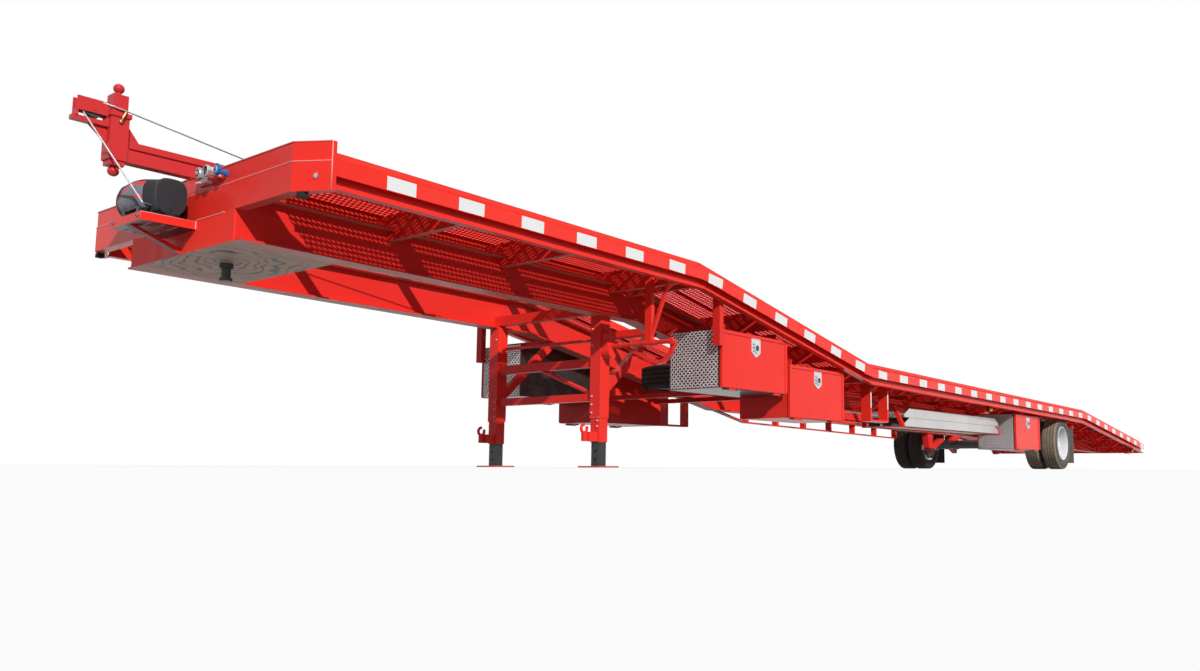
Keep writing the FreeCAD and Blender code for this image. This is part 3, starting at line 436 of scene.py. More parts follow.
# Instances a given mesh evenly along each curve, turned to it, and makes it real.
def repeatTree():
    tree = bpy.data.node_groups.new("repeatAlongRun", "GeometryNodeTree")
    for label, kind in (("Run", "Geometry"), ("Part", "Object"), ("Count", "Int"), ("Stretch", "Vector"),
                        ("Finish", "Material")):
        tree.interface.new_socket(label, in_out="INPUT", socket_type="NodeSocket" + kind)
    tree.interface.new_socket("Made", in_out="OUTPUT", socket_type="NodeSocketGeometry")
    start = tree.nodes.new("NodeGroupInput").outputs
    end = tree.nodes.new("NodeGroupOutput")

    def add(kind, inputs=None, **settings):
        return shade(tree, kind, inputs, **settings).outputs[0]

    curve = add("GeometryNodeMeshToCurve", {"Mesh": start["Run"]})
    even = add("GeometryNodeResampleCurve", {"Curve": curve, "Count": start["Count"]})
    turn = add("FunctionNodeAxesToRotation", {"Primary Axis": add("GeometryNodeInputTangent"),
                                              "Secondary Axis": (0.0, 1.0, 0.0)},
               primary_axis="X", secondary_axis="Y")
    part = shade(tree, "GeometryNodeObjectInfo", {"Object": start["Part"], "As Instance": True})
    placed = add("GeometryNodeInstanceOnPoints", {"Points": even, "Instance": part.outputs["Geometry"],
                                                  "Rotation": turn, "Scale": start["Stretch"]})
    real = add("GeometryNodeRealizeInstances", {0: placed})
    painted = add("GeometryNodeSetMaterial", {"Geometry": real, "Material": start["Finish"]})
    tree.links.new(painted, end.inputs["Made"])
    return tree


runTree = repeatTree()


# Plain mesh of a part repeated count times along each run, a list of places.
def repeatRun(name, runs, part, count, finish, stretch=(1.0, 1.0, 1.0)):
    bm = bmesh.new()
    for run in runs:
        points = [bm.verts.new(p) for p in run]
        for a, b in zip(points, points[1:]):
            bm.edges.new((a, b))
    guide = fromBmesh(name, bm, turned=False)
    modifier = guide.modifiers.new("repeat", "NODES")
    modifier.node_group = runTree
    sockets = {item.name: item.identifier for item in runTree.interface.items_tree if item.in_out == "INPUT"}
    for label, value in (("Part", part), ("Count", count), ("Stretch", stretch), ("Finish", finish)):
        modifier[sockets[label]] = value
    makePlain(guide)
    return guide


view = {
    "place": (10.2205, 5.464, 0.006),
    "yaw": 37.265, "pitch": 6.260, "roll": 0.245,
    "lens": 29.168, "shift": (-0.0809, 0.0209),
}


def addCamera():
    a, b, r = (radians(view[k]) for k in ("yaw", "pitch", "roll"))
    ahead = Vector((-cos(a) * cos(b), -sin(a) * cos(b), sin(b)))
    right = Vector((-sin(a), cos(a), 0.0))
    up = Vector((cos(a) * sin(b), sin(a) * sin(b), cos(b)))
    rightRolled = right * cos(r) + up * sin(r)
    upRolled = up * cos(r) - right * sin(r)
    camera = bpy.data.objects.new("camera", bpy.data.cameras.new("camera"))
    bpy.context.scene.collection.objects.link(camera)
    turn = Matrix((rightRolled, upRolled, -ahead)).transposed().to_4x4()
    camera.matrix_world = Matrix.Translation(view["place"]) @ turn
    camera.data.lens = view["lens"]
    camera.data.sensor_width = 36.0
    camera.data.shift_x, camera.data.shift_y = view["shift"]
    camera.data.clip_start, camera.data.clip_end = 0.01, 500.0
    bpy.context.scene.camera = camera


light = {
    "sunTurn": 62.0,        # degrees from straight ahead round towards the left side
    "sunRise": 29.0, "sunStrength": 3.9, "sunAngle": 0.8, "sunColour": (1.0, 0.985, 0.96),
    "skyStrength": 0.34, "skyColour": (0.88, 0.93, 1.0),
    "backdrop": 1.0,
    "floorSeen": 0.92,      # the floor as the camera sees it, and as it lights the trailer from below
    "floorLit": 0.30,
    "floorGlow": 0.74,
    "floorHalf": 150.0,
}


# 1 for rays from the camera, from mirrors and through glass, which see the pale backdrop.
def seenOf(tree):
    ray = shade(tree, "ShaderNodeLightPath").outputs
    seen = ray["Is Camera Ray"]
    for kind in ("Is Glossy Ray", "Is Transmission Ray"):
        seen = shade(tree, "ShaderNodeMath", {0: seen, 1: ray[kind]}, operation="MAXIMUM").outputs[0]
    return seen


def addStage():
    bm = bmesh.new()
    half = light["floorHalf"]
    addFace(bm, [(x, y, 0.0) for x, y in ((-half, -half), (half, -half), (half, half), (-half, half))])
    f = Finish("floorPale", Roughness=0.9, Specular_IOR_Level=0.0)
    seen = seenOf(f.tree)
    shown = (light["floorSeen"],) * 3
    pale = f.mix(f.noise(0.6), scaled(shown, 0.99), shown)
    f.link(f.mix(seen, (light["floorLit"],) * 3, pale), "Base Color")
    glow = f.add("Emission", {"Strength": 1.0})
    share = f.calc("MULTIPLY", seen, light["floorGlow"])
    both = f.add("MixShader", {0: share, 1: f.shader.outputs[0], 2: glow})
    f.tree.links.new(both, f.tree.nodes["Material Output"].inputs["Surface"])
    fromBmesh("floor", bm, f.material)

    world = bpy.data.worlds.new("studio")
    bpy.context.scene.world = world
    world.use_nodes = True
    tree = world.node_tree
    tree.nodes.clear()
    skies = ((light["skyColour"], light["skyStrength"]), ((1.0, 1.0, 1.0), light["backdrop"]))
    sky, pale = (shade(tree, "ShaderNodeBackground", {"Color": (*colour, 1.0), "Strength": strength})
                 for colour, strength in skies)
    both = shade(tree, "ShaderNodeMixShader", {0: seenOf(tree), 1: sky.outputs[0], 2: pale.outputs[0]})
    shade(tree, "ShaderNodeOutputWorld", {"Surface": both.outputs[0]})

    lamp = bpy.data.lights.new("keyLight", "SUN")
    lamp.energy = light["sunStrength"]
    lamp.angle = radians(light["sunAngle"])
    lamp.color = light["sunColour"]
    key = bpy.data.objects.new("keyLight", lamp)
    bpy.context.scene.collection.objects.link(key)
    a, e = radians(light["sunTurn"]), radians(light["sunRise"])
    towards = Vector((cos(a) * cos(e), sin(a) * cos(e), sin(e)))
    key.rotation_euler = towards.to_track_quat("Z", "Y").to_euler()
    bpy.context.scene.view_settings.view_transform = "Standard"


addCamera()
addStage()
print("camera, floor and light ready")

planks = {
    "pitch": 0.0322,        # from one opening to the next along a row
    "rows": 5, "margin": 0.022,
    "openHalfLong": 0.0134, "openHalfWide": 0.0215,
    "openFlat": 0.0097,     # half length of each opening's straight sides
    "sheet": 0.002,
    "rim": 0.0090,          # depth of the edges turned down around each opening
    "web": 0.028,           # depth of each channel's webs, which stand on seats over the cross members
    "perSide": 3, "stringer": 0.003,
    "gap": 0.0004, "tailGap": 0.062,        # between neighbouring planks, and at the tail bar
    "lap": 0.002,           # stringers' top over the foot of the webs
}


# One pitch of a channel plank, its openings staggered, webs down.
def plankTile(width):
    p, rows, t, margin = (planks[k] for k in ("pitch", "rows", "sheet", "margin"))
    a, b, f = (planks[k] for k in ("openHalfLong", "openHalfWide", "openFlat"))
    rise = trailer["plankRise"]
    low, rim = rise - planks["web"], rise - planks["rim"]
    rowWidth = (width - 2 * margin) / rows
    h = rowWidth / 2
    bm = bmesh.new()

    # both halves of a row: its middle, the tile's edge or middle, the opening's middle, its side
    def halves(k):
        c = -width / 2 + margin + (k + 0.5) * rowWidth
        for sx in (-1, 1):
            if k % 2 == 0:
                yield c, sx * p / 2, 0.0, sx * a, sx
            else:
                yield c, 0.0, sx * p / 2, sx * (p / 2 - a), -sx

    for level, order in ((rise, 1), (rise - t, -1)):
        for sign in (-1, 1):
            y0, y1 = sorted((sign * width / 2, sign * (width / 2 - margin)))
            points = ((-p / 2, y0), (p / 2, y0), (p / 2, y1), (-p / 2, y1))
            addFace(bm, [(x, y, level) for x, y in points], order)
        for k in range(rows):
            for c, e, o, x, turn in halves(k):
                points = [(e, c - h), (e, c + h), (o, c + h), (o, c + b), (x, c + f), (x, c - f), (o, c - b),
                          (o, c - h)]
                addFace(bm, [(u, v, level) for u, v in points[::turn]], order)
    for k in range(rows):       # the openings' turned-down edges
        for c, e, o, x, turn in halves(k):
            ring = [(o, c + b), (x, c + f), (x, c - f), (o, c - b)]
            for one, two in zip(ring, ring[1:]):
                addFace(bm, ((*one, rise), (*two, rise), (*two, rim), (*one, rim)))
    for sign in (-1, 1):
        y0, y1 = sorted((sign * width / 2, sign * (width / 2 - t)))
        for y, order in ((y0, 1), (y1, -1)):
            points = [(-p / 2, y, low), (p / 2, y, low), (p / 2, y, rise - t), (-p / 2, y, rise - t)]
            addFace(bm, points[::order])
        addFace(bm, ((-p / 2, y0, low), (p / 2, y0, low), (p / 2, y1, low), (-p / 2, y1, low)))
    bmesh.ops.remove_doubles(bm, verts=bm.verts, dist=1e-5)
    return fromBmesh("plankTile", bm)


def addPlanks():
    inner, outer, pitch = trailer["runwayInner"], trailer["runwayOuter"], planks["pitch"]
    width = (outer - inner) / planks["perSide"]
    tile = plankTile(width - planks["gap"])
    bends = [s for s, z in trailer["deckLine"][1:-1]]
    stops = [trailer["wallEnd"], *bends, trailer["tail"] - planks["tailGap"]]
    for side, sign in bothSides:
        for half, spans in (("upper", (0, 1)), ("lower", (2, 3))):
            made = []
            for i in spans:
                s0, s1 = stops[i] + fit, stops[i + 1] - fit
                z0, z1 = deckHeight(s0), deckHeight(s1)
                length = hypot(s1 - s0, z1 - z0)
                count = round(length / pitch)
                f = 0.5 / count
                runs = []
                for k in range(planks["perSide"]):
                    y = sign * (inner + (k + 0.5) * width)
                    fore, aft = Vector((atX(s0), y, z0)), Vector((atX(s1), y, z1))
                    # run rearward to forward, so that the tile's X points forward
                    runs.append([aft.lerp(fore, f), aft.lerp(fore, 1 - f)])
                stretch = (length / count / pitch, 1.0, 1.0)
                made.append(repeatRun("planks", runs, tile, count, redGrip, stretch))
            piece = joinPieces("deckPlanks_%s_%s" % (half, side), made)
            settle(piece, "red_paint", *(["runways"] if (side, half) == ("left", "upper") else []))
    dropObject(tile)
    # deep plate along each runway's inner edge, over the beams
    bm = bmesh.new()
    rise, low = trailer["plankRise"] - planks["web"] + planks["lap"], -trailer["plankSeat"]
    for a, b in zip(stops, stops[1:]):
        for _, sign in bothSides:
            outline = [(s, deckHeight(s) + up) for s, up in ((a, low), (b, low), (b, rise), (a, rise))]
            addPrism(bm, outline, lambda u, v, w: (atX(u), sign * (inner + 2 * fit + w), v),
                     planks["stringer"])
    settle(fromBmesh("plankStringers", bm, redGrip), "red_paint")


addPlanks()
print("deck planks done")

tape = {
    "whiteLength": 0.178, "redLength": 0.279, "height": 0.072, "thick": 0.0006, "down": 0.011,
    "firstWhite": 0.415, "pitch": 0.4572, "end": 15.98, "proud": 0.0001,
}


def addTape():
    pitch, end = tape["pitch"], tape["end"]
    depth = tape["down"] + tape["height"] / 2
    y = trailer["halfWidth"] + tape["thick"] / 2 + tape["proud"]
    start = tape["firstWhite"] + tape["whiteLength"] / 2
    redStart = start + (tape["whiteLength"] + tape["redLength"]) / 2
    for label, first, finish in (("white", start, whiteTape), ("red", redStart, redTape)):
        bm = bmesh.new()
        half = [size / 2 for size in (tape[label + "Length"], tape["thick"], tape["height"])]
        addBlock(bm, [-v for v in half], half)
        part = fromBmesh("tapePart", bm)
        made = []
        for _, sign in bothSides:
            stops = [first] + [s for s, z in trailer["deckLine"] if first < s < end] + [end]
            points = [Vector((atX(s), sign * y, deckHeight(s) - depth)) for s in stops]
            total = sum((b - a).length for a, b in zip(points, points[1:]))
            count = int(total / pitch) + 1
            spare = total - (count - 1) * pitch
            points[-1] = points[-1] - (points[-1] - points[-2]).normalized() * spare
            made.append(repeatRun("tape", [points[::-1]], part, count, finish))
        settle(joinPieces("railTape_" + label, made), label + "_paint")
        dropObject(part)


addTape()
print("tape done")

wheel = {
    "centre": (atX(11.690), 0.365),
    "outerY": 1.233, "width": 0.210, "pitch": 0.245,
    "rim": 0.2385, "radius": 0.365,
    "turns": 168,
    "grooves": (-0.060, -0.021, 0.021, 0.060), "grooveHalf": 0.0045, "grooveDeep": 0.012,
    "notchDeep": 0.005,     # the shoulders' worn scallops
    "nutCircle": 0.1425, "nuts": 10, "boltCircle": 0.082, "bolts": 8,
    # out from the wheels' middle plane: seats of nuts and bolts, and hub rings as (radius, place)
    "nutFace": 0.0185, "boltFace": 0.0925, "hubRings": ((0.100, 0.0905), (0.062, 0.1505)),
    "edgeIn": 0.015,        # rolled rim edge, in from the tyre's side face
    "spareCentre": (3.2725, 0.0), "spareLow": 0.700,
}


# The tyre's outline from bead to bead, as (radius, distance in from the side face).
def tyreProfile():
    w, r0, r1, h = (wheel[k] for k in ("width", "rim", "radius", "grooveHalf"))
    side = [(r0 + r, t) for r, t in ((0, 0.024), (0.004, 0.014), (0.012, 0.008), (0.020, 0.0065),
                                     (0.0225, 0.004), (0.040, 0.0015), (0.062, 0.0008))]
    side += [(r1 - r, t) for r, t in ((0.044, 0.0022), (0.042, 0.0045), (0.026, 0.0080), (0.016, 0.0105),
                                      (0.005, 0.0150), (0.001, 0.0230))]
    tread = []
    deep = r1 - wheel["grooveDeep"]
    for g in wheel["grooves"]:
        middle = w / 2 + g
        half = [(r1, -h - 0.0015), (r1 - 0.0015, -h), (deep, -h * 0.6)]
        tread += [(r, middle + t) for r, t in half] + [(r, middle - t) for r, t in half[::-1]]
    return side + tread + [(r, w - t) for r, t in side[::-1]]


# One tyre about the Y axis with its side face at y 0 and its tread towards +y.
def addTyre(bm, place):
    profile = tyreProfile()
    count = len(profile)
    rows = []
    for k, a in enumerate(anglesOf(wheel["turns"])):
        ring = []
        for i, (r, t) in enumerate(profile):
            near = min(i, count - 1 - i)
            if k % 4 < 2:
                r -= {9: 0.5, 10: 1.0, 11: 1.0, 12: 0.3}.get(near, 0.0) * wheel["notchDeep"]
            ring.append(bm.verts.new(place(r * cos(a), t, r * sin(a))))
        rows.append(ring)
    for i, face in skin(bm, rows, looped=True):
        face.material_index = 1 if 10 <= i < count - 11 else 0
        face.smooth = not 9 <= i < count - 10


def addTyres():
    cx, cz = wheel["centre"]
    for side, sign in bothSides:
        bm = bmesh.new()
        for offset in (0.0, wheel["pitch"]):
            y0 = wheel["outerY"] - offset
            addTyre(bm, lambda x, t, z: (cx + x, sign * (y0 - t), cz + z))
        # the far tyres take the darker tread: painted shade
        tread = treadRubber if sign > 0 else farRubberPaintedShade
        twins = fromBmesh("twinTyres_" + side, bm, sideRubber, tread, smooth=None)
        settle(twins, "tyre", "tyres_" + side, body="wheel_pair_" + side)
    bm = bmesh.new()
    (sx, sy), low = wheel["spareCentre"], wheel["spareLow"]
    addTyre(bm, lambda x, t, z: (sx + x, sy + z, low + t))
    settle(fromBmesh("spareTyre", bm, spareRubber, spareRubber, smooth=None), "tyre", "spare_tyre")


# Nuts on each wheel's disc, the hub's rings and bolts, and a rolled edge round the rim.
def addWheelFittings():
    cx, cz = wheel["centre"]
    middle = wheel["outerY"] - (wheel["pitch"] + wheel["width"]) / 2
    bm = bmesh.new()
    addLathe(bm, [(pole, 0.013), (0.006, 0.013), (0.0075, 0.011), (0.013, 0.0105), (0.0155, 0.0075),
                  (0.0155, -0.012), (pole, -0.012)], 6, (0, 0, 0))
    nut = fromBmesh("nutPart", bm)
    edge = [(0.2374, 0.0), (0.2350, 0.0045), (0.2310, 0.0055), (0.2272, 0.0040), (0.2256, 0.0),
            (0.2262, -0.012), (0.2300, -0.004)]
    hub = [(0.0, 0.0), (0.002, 0.004), (0.008, 0.005), (0.012, 0.0), (0.010, -0.004), (0.003, -0.004)]
    bolt = [(pole, 0.006), (0.006, 0.006), (0.0075, 0.004), (0.0075, -0.006), (pole, -0.006)]
    circle = wheel["boltCircle"]
    for side, sign in bothSides:
        reach, y = wheel["nutCircle"], sign * (middle + wheel["nutFace"])
        ring = [(cx + reach * cos(a), y, cz + reach * sin(a)) for a in anglesOf(60, 61)]
        nuts = repeatRun("wheelNuts_" + side, [ring], nut, wheel["nuts"] + 1, whitePaint, (1.0, sign, 1.0))
        bm = bmesh.new()
        addLathe(bm, edge, 72, (cx, sign * (wheel["outerY"] - wheel["edgeIn"]), cz), hollow=True, flip=sign)
        for inner, along in wheel["hubRings"]:
            ring = [(inner - r, t) for r, t in hub]
            addLathe(bm, ring, 48, (cx, sign * (middle + along), cz), hollow=True, flip=sign)
        for a in anglesOf(wheel["bolts"], start=0.5):
            at = (cx + circle * cos(a), sign * (middle + wheel["boltFace"]), cz + circle * sin(a))
            addLathe(bm, bolt, 6, at, flip=sign)
        piece = joinPieces("wheelFittings_" + side, [fromBmesh("rimEdge", bm, whitePaint), nuts])
        settle(piece, "white_paint", body="wheel_pair_" + side)
    dropObject(nut)


addTyres()
addWheelFittings()
print("tyres and wheel fittings done")

toolBoxes = {
    "length": 0.925, "height": 0.445, "faceY": 1.222, "innerY": 0.727, "shellY": 1.1985,
    "left": {"front": (3.417, 0.600), "middle": (4.375, 0.415), "rear": (9.765, 0.250)},
    "right": {"front": (3.192, 0.600), "middle": (4.150, 0.415)},
    "frame": 0.026, "frameThick": 0.007,
    "latchWide": 0.122, "latchHigh": 0.150, "latchDown": 0.100, "latchPlate": 0.004,
    "gap": 0.004,           # around each door
    "cell": 0.0190, "lozenge": (0.0124, 0.0034, 0.0018),
    "bare": 0.012, "bareFoot": 0.016,       # left free of lozenges at the edges and below
    "sunk": 0.0002,         # lozenges' foot in the plate
}


# Outline of the latch's plate, straight sides and a blunt point below, about its centre.
def latchOutline(scale=1.0):
    w, h = toolBoxes["latchWide"] / 2 * scale, toolBoxes["latchHigh"] / 2 * scale
    half = [(w * 0.93, h), (w, h * 0.94), (w, -h * 0.52), (w * 0.12, -h)]
    return [(-w, h * 0.94), (-w * 0.93, h)] + half + [(-w * 0.12, -h), (-w, -h * 0.52)]


# A screw's domed head, from its radius and how far it stands proud.
def screwHead(radius, proud, sunk=0.003):
    return [(pole, proud), (radius - 0.0012, proud - 0.0005), (radius, 0.0), (radius, -sunk), (pole, -sunk)]


def addLatch(bm, middle, sign):
    cx, y, cz = middle
    plate = toolBoxes["latchPlate"]

    def at(depth):
        return lambda u, v, w: (cx + u, sign * (y + depth + w), cz + v)

    addPrism(bm, latchOutline(), at(0.0), plate)
    points = [(cx + u, sign * (y + plate), cz + v) for u, v in latchOutline(0.93)]
    addTube(bm, points + points[:2], 0.0042, 6, capped=False)
    for u in (-0.037, 0.037):
        for v in (0.022, -0.004, -0.030):
            slot = [(u - 0.010, v), (u + 0.010, v), (u + 0.010, v + 0.007), (u - 0.010, v + 0.007)]
            addPrism(bm, slot, at(0.0042), 0.0006, 1)
    paddle = [(-0.028, 0.040), (0.028, 0.040), (0.030, 0.010), (0.020, -0.038), (-0.020, -0.038),
              (-0.030, 0.010)]
    addPrism(bm, paddle, at(0.005), 0.012)
    addPrism(bm, [(u * 0.62, v * 0.50 - 0.004) for u, v in paddle], at(0.0172), 0.003, 1)
    for u, v in ((-0.040, 0.046), (0.040, 0.046), (-0.040, -0.020), (0.040, -0.020)):
        addLathe(bm, screwHead(0.0052, 0.003), 12, (cx + u, sign * (y + 0.006), cz + v), flip=sign)
    addLathe(bm, [(pole, 0.004), (0.007, 0.0035), (0.0085, 0.0), (0.0085, -0.003), (pole, -0.003)], 16,
             (cx, sign * (y + 0.020), cz + 0.026), flip=sign)


# Raised frame and latch on each toolbox door.
def addDoorFittings():
    length, height, face, wide = (toolBoxes[k] for k in ("length", "height", "faceY", "frame"))
    thick, gap = toolBoxes["frameThick"], toolBoxes["gap"]
    screw = [(pole, 0.0028), (0.005, 0.0022), (0.007, 0.0), (0.007, -0.002), (pole, -0.002)]
    for side, sign in bothSides:
        for label, (s, z) in toolBoxes[side].items():
            tag = "_%s_%s" % (label, side)
            x1, x0 = atX(s) - gap, atX(s + length) + gap
            z0, z1 = z + gap, z + height - gap
            back, foot, head = sign * (face - 0.001), z0 + 0.008, z1 - wide
            bm = bmesh.new()
            for xa, za, xb, zb in ((x0, head, x1, z1), (x1 - wide, foot, x1, head - fit),
                                   (x0, foot, x0 + wide, head - fit)):
                addBlock(bm, (xa, back, za), (xb, sign * (face + thick), zb), 0.0022)
            addBlock(bm, (x0 + wide + fit, back, z0 + 0.004),
                     (x1 - wide - fit, sign * (face + 0.003), z0 + 0.012), 0.0012)
            for x in (x0 + 0.013, x1 - 0.013):
                for zz in (z0 + 0.05, z1 - 0.013):
                    addLathe(bm, screw, 14, (x, sign * (face + thick), zz), flip=sign)
            settle(fromBmesh("doorFrame" + tag, bm, redPaint), "red_paint", body="door" + tag)
            bm = bmesh.new()
            addLatch(bm, ((x0 + x1) / 2, face, z1 - toolBoxes["latchDown"]), sign)
            settle(fromBmesh("latch" + tag, bm, chromeMetal, darkIron), "coupling_metal", body="door" + tag)


# One raised lozenge, leaning one way or the other, with a top towards each side of its plate.
def lozengePart(lean):
    a, b, h = toolBoxes["lozenge"]
    c = sqrt(0.5)
    bm = bmesh.new()
    for sign in (1, -1):
        rings = []
        for p, q, r, up in ((1.0, 0.45, 1.0, -toolBoxes["sunk"]), (0.62, 0.30, 0.4, h)):
            outline = [(-a * p, 0), (-a * q, -b * r), (a * q, -b * r)]
            outline += [(-u, -v) for u, v in outline]
            places = [(u * c - lean * v * c, lean * u * c + v * c, sign * up) for u, v in outline]
            rings.append([bm.verts.new(place) for place in places])
        skin(bm, rings[::sign])
        bm.faces.new(rings[1][::sign])
    return fromBmesh("lozengePart", bm, turned=False)


# Raised lozenges on the ends of the plate boxes, leaning one way and the other by turns.
def addLozenges():
    parts = [lozengePart(lean) for lean in (1, -1)]
    cell, bare, sunk = (toolBoxes[k] for k in ("cell", "bare", "sunk"))
    y0, y1 = toolBoxes["innerY"] + bare, toolBoxes["shellY"] - bare
    across = int((y1 - y0) / cell)
    up = int((toolBoxes["height"] - 2 * bare) / cell)
    made = []
    plateBoxes = [(sign, *toolBoxes[side][label]) for side, sign in bothSides for label in ("front", "rear")
                  if label in toolBoxes[side]]
    for sign, s, z in plateBoxes:
        for x in (atX(s) + sunk, atX(s + toolBoxes["length"]) - sunk):
            for first in (0, 1):
                runs = {}
                for i in range(across + 1):
                    y = sign * (y0 + (y1 - y0 - across * cell) / 2 + i * cell)
                    odd = (first + i) % 2
                    low, count = z + toolBoxes["bareFoot"] + odd * cell, (up - odd) // 2
                    run = (Vector((x, y, low)), Vector((x, y, low + 2 * cell * count)))
                    runs.setdefault(count + 1, []).append(run)
                for count in sorted(runs):
                    # the lozenges take the near-white copy of the metal: painted highlight
                    made.append(repeatRun("lozenges", runs[count], parts[first], count, lozengeMetalPaintedHighlight))
    settle(joinPieces("treadPlateLozenges", made), "tread_plate")
    for part in parts:
        dropObject(part)


addDoorFittings()
addLozenges()
print("toolboxes done")

winchGear = {
    "front": -0.276, "back": -0.008, "farEnd": -0.178, "nearEnd": 0.170, "hem": 1.332, "top": 1.534,
    "nearFront": -0.208, "nearBack": -0.050, "nearTop": 1.524,
    "stations": 62, "points": 74, "folds": 9, "cloth": 0.0016,
    "bulge": 0.0012, "hemSeam": 0.0030, "endSeam": 0.0012,
    "ends": (0.04, 0.22, 0.42, 0.62, 0.80, 0.93),
    "sheave": (-0.475, 1.838), "ropeLap": 0.0535, "ropeLean": 0.0165, "ropeRadius": 0.0047,
    "ropeLow": ((-0.205, 0.124, 1.371), (-0.262, 0.143, 1.370), (-0.524, 0.0175, 1.810)),
    "ropeHigh": ((-0.398, 0.044, 1.8735), (-0.312, 0.050, 1.8605)),
    "ropeEnd": (1.790, 0.060, 1.548),
}


def easeStep(value, low, high):
    t = min(1.0, max(0.0, (value - low) / (high - low)))
    return t * t * (3 - 2 * t)


# Section of the cover at y, wide over the drum and narrow at the near end: middle and half sizes.
def coverSection(y):
    g = winchGear
    near = easeStep(y, 0.045, 0.160)
    far = easeStep(-y, 0.120, 0.180)
    front, back, top = (g[a] + (g[b] - g[a]) * near
                        for a, b in (("front", "nearFront"), ("back", "nearBack"), ("top", "nearTop")))
    top -= 0.022 * far + 0.006 * sin(pi * (y + 0.02) / 0.19) ** 2
    return (front + back) / 2, (g["hem"] + top) / 2, (back - front) / 2 - 0.010 * far, (top - g["hem"]) / 2


# Which cloth a face of the hood has: black, the front panel's grey, or the red bands on it.
def hoodCloth(x, y, z):
    arc = 1.402 + 0.100 * sqrt(max(0.0, 1.0 - ((y - 0.070) / 0.19) ** 2))
    if x <= atX(-0.19) or not -0.128 < y < 0.098 or z <= winchGear["hem"] + 0.030:
        return 0
    if arc - 0.021 < z < arc or (y > 0.030 and 0 < z - 1.404 - 0.12 * (y - 0.03) < 0.013):
        return 2
    return 1 if z <= arc - 0.021 else 0


# Hood over the winch with an upright end panel, its front panel grey under a curved red band.
def addWinchCover():
    g = winchGear
    picker = random.Random(7)
    ranges = ((0, 6.28), (30, 95), (-2.5, 2.5), (0.4, 1.0))
    folds = [[picker.uniform(*pair) for pair in ranges] for _ in range(g["folds"])]
    bm = bmesh.new()
    count, points, hem = g["stations"], g["points"], g["hem"]

    def row(y, shrink=1.0):
        cs, cz, hs, hz = coverSection(y)
        ring = []
        for k in range(points):
            a = radians(-64 + 308 * k / (points - 1))
            u, v = (copysign(abs(c) ** 0.62, c) for c in (cos(a), sin(a)))
            fold = sum(w * sin(n * y + f + m * a) for f, n, m, w in folds) / 6.0
            pull = 1.0 - 0.16 * max(0.0, -0.15 - v) * (1.2 + fold) - 0.012 * fold * (0.4 + abs(v))
            z = cz + hz * max(v, -1.0) * (1.0 + 0.012 * fold)
            ring.append(bm.verts.new((atX(cs - hs * u * pull * shrink), y + 0.002 * fold * (shrink < 0.95),
                                      hem + (z - hem) * shrink)))
        return ring

    near, far = g["nearEnd"], g["farEnd"]
    rows = [row(near + g["bulge"] * (1 - f), f) for f in g["ends"]]
    rows += [row(near + (far - near) * i / (count - 1)) for i in range(count)]
    rows += [row(far - g["bulge"] * (1 - f), f) for f in g["ends"][::-1]]
    for _, face in skin(bm, rows, around=False):
        face.material_index = hoodCloth(*face.calc_center_median())
    area = sum(face.calc_area() for face in bm.faces)
    seams = [([ring[k].co.copy() for ring in rows[5:-5]], g["hemSeam"]) for k in (0, -1)]
    seams += [([v.co.copy() for v in rows[i]], g["endSeam"]) for i in (7, -8)]
    shell = fromBmesh("winchHood", bm, coverCloth, panelCloth, redCloth, smooth=True)
    thicken = shell.modifiers.new("thickness", "SOLIDIFY")
    thicken.thickness, thicken.offset = g["cloth"], -1.0
    makePlain(shell)
    bm = bmesh.new()
    for seam, radius in seams:
        addTube(bm, seam, radius, 6)
    piping = fromBmesh("winchHoodPiping", bm, coverCloth)
    settle(shell, "cover_cloth", "winch_cover")
    settle(piping, "cover_cloth")


# Laid wire rope along a path: strands wound round a core.
def addRope(bm, path, radius, strands=6, lay=0.052):
    fine = [path[0]]
    along = [0.0]
    for a, b in zip(path, path[1:]):
        steps = max(1, round((b - a).length / (lay / 8)))
        fine += [a.lerp(b, (i + 1) / steps) for i in range(steps)]
    for a, b in zip(fine, fine[1:]):
        along.append(along[-1] + (b - a).length)
    for turn in anglesOf(strands):
        wound = []
        for (p, u, v), d in zip(framesAlong(fine), along):
            a = turn + 2 * pi * d / lay
            wound.append(p + (u * cos(a) + v * sin(a)) * radius * 0.62)
        addTube(bm, wound, radius * 0.40, 5)
    addTube(bm, path, radius * 0.5, 6)


def addWinchRope():
    (sp, zp), (se, ye, ze) = winchGear["sheave"], winchGear["ropeEnd"]
    lap, lean = winchGear["ropeLap"], winchGear["ropeLean"]
    # from the drum past the near side of the boom's foot, over the sheave and past the near side of the post
    over = [radians(172 - (172 - 83) * k / 14) for k in range(15)]
    places = [*winchGear["ropeLow"], *[(sp + lap * cos(a), lean, zp + lap * sin(a)) for a in over],
              *winchGear["ropeHigh"], (se, ye, ze)]
    bm = bmesh.new()
    addRope(bm, [Vector((atX(s), y, z)) for s, y, z in places], winchGear["ropeRadius"])
    settle(fromBmesh("winchRope", bm, ropeMetal, smooth=True), "coupling_metal")
    bm = bmesh.new()
    addLathe(bm, [(pole, 0.0), (0.0072, 0.0), (0.0080, 0.004), (0.0080, 0.036), (0.0072, 0.040),
                  (pole, 0.040)], 14, (atX(se + 0.008), ye, ze), "X")
    eye = [(atX(se + 0.026 + 0.020 * (1 - cos(a))), ye + 0.015 * sin(a), ze) for a in anglesOf(20, 22)]
    addTube(bm, eye, 0.0042, 8, capped=False)
    bend = [pi * (0.15 + 1.45 * k / 18) for k in range(19)]
    hook = [(atX(se + 0.054 + 0.030 * (1 - cos(a))), ye, ze - 0.020 - 0.024 * sin(a)) for a in bend]
    addTube(bm, hook, [0.0055 - 0.0022 * abs(k - 6) / 12 for k in range(19)], 10)
    settle(fromBmesh("ropeHook", bm, castMetal, smooth=True), "coupling_metal")


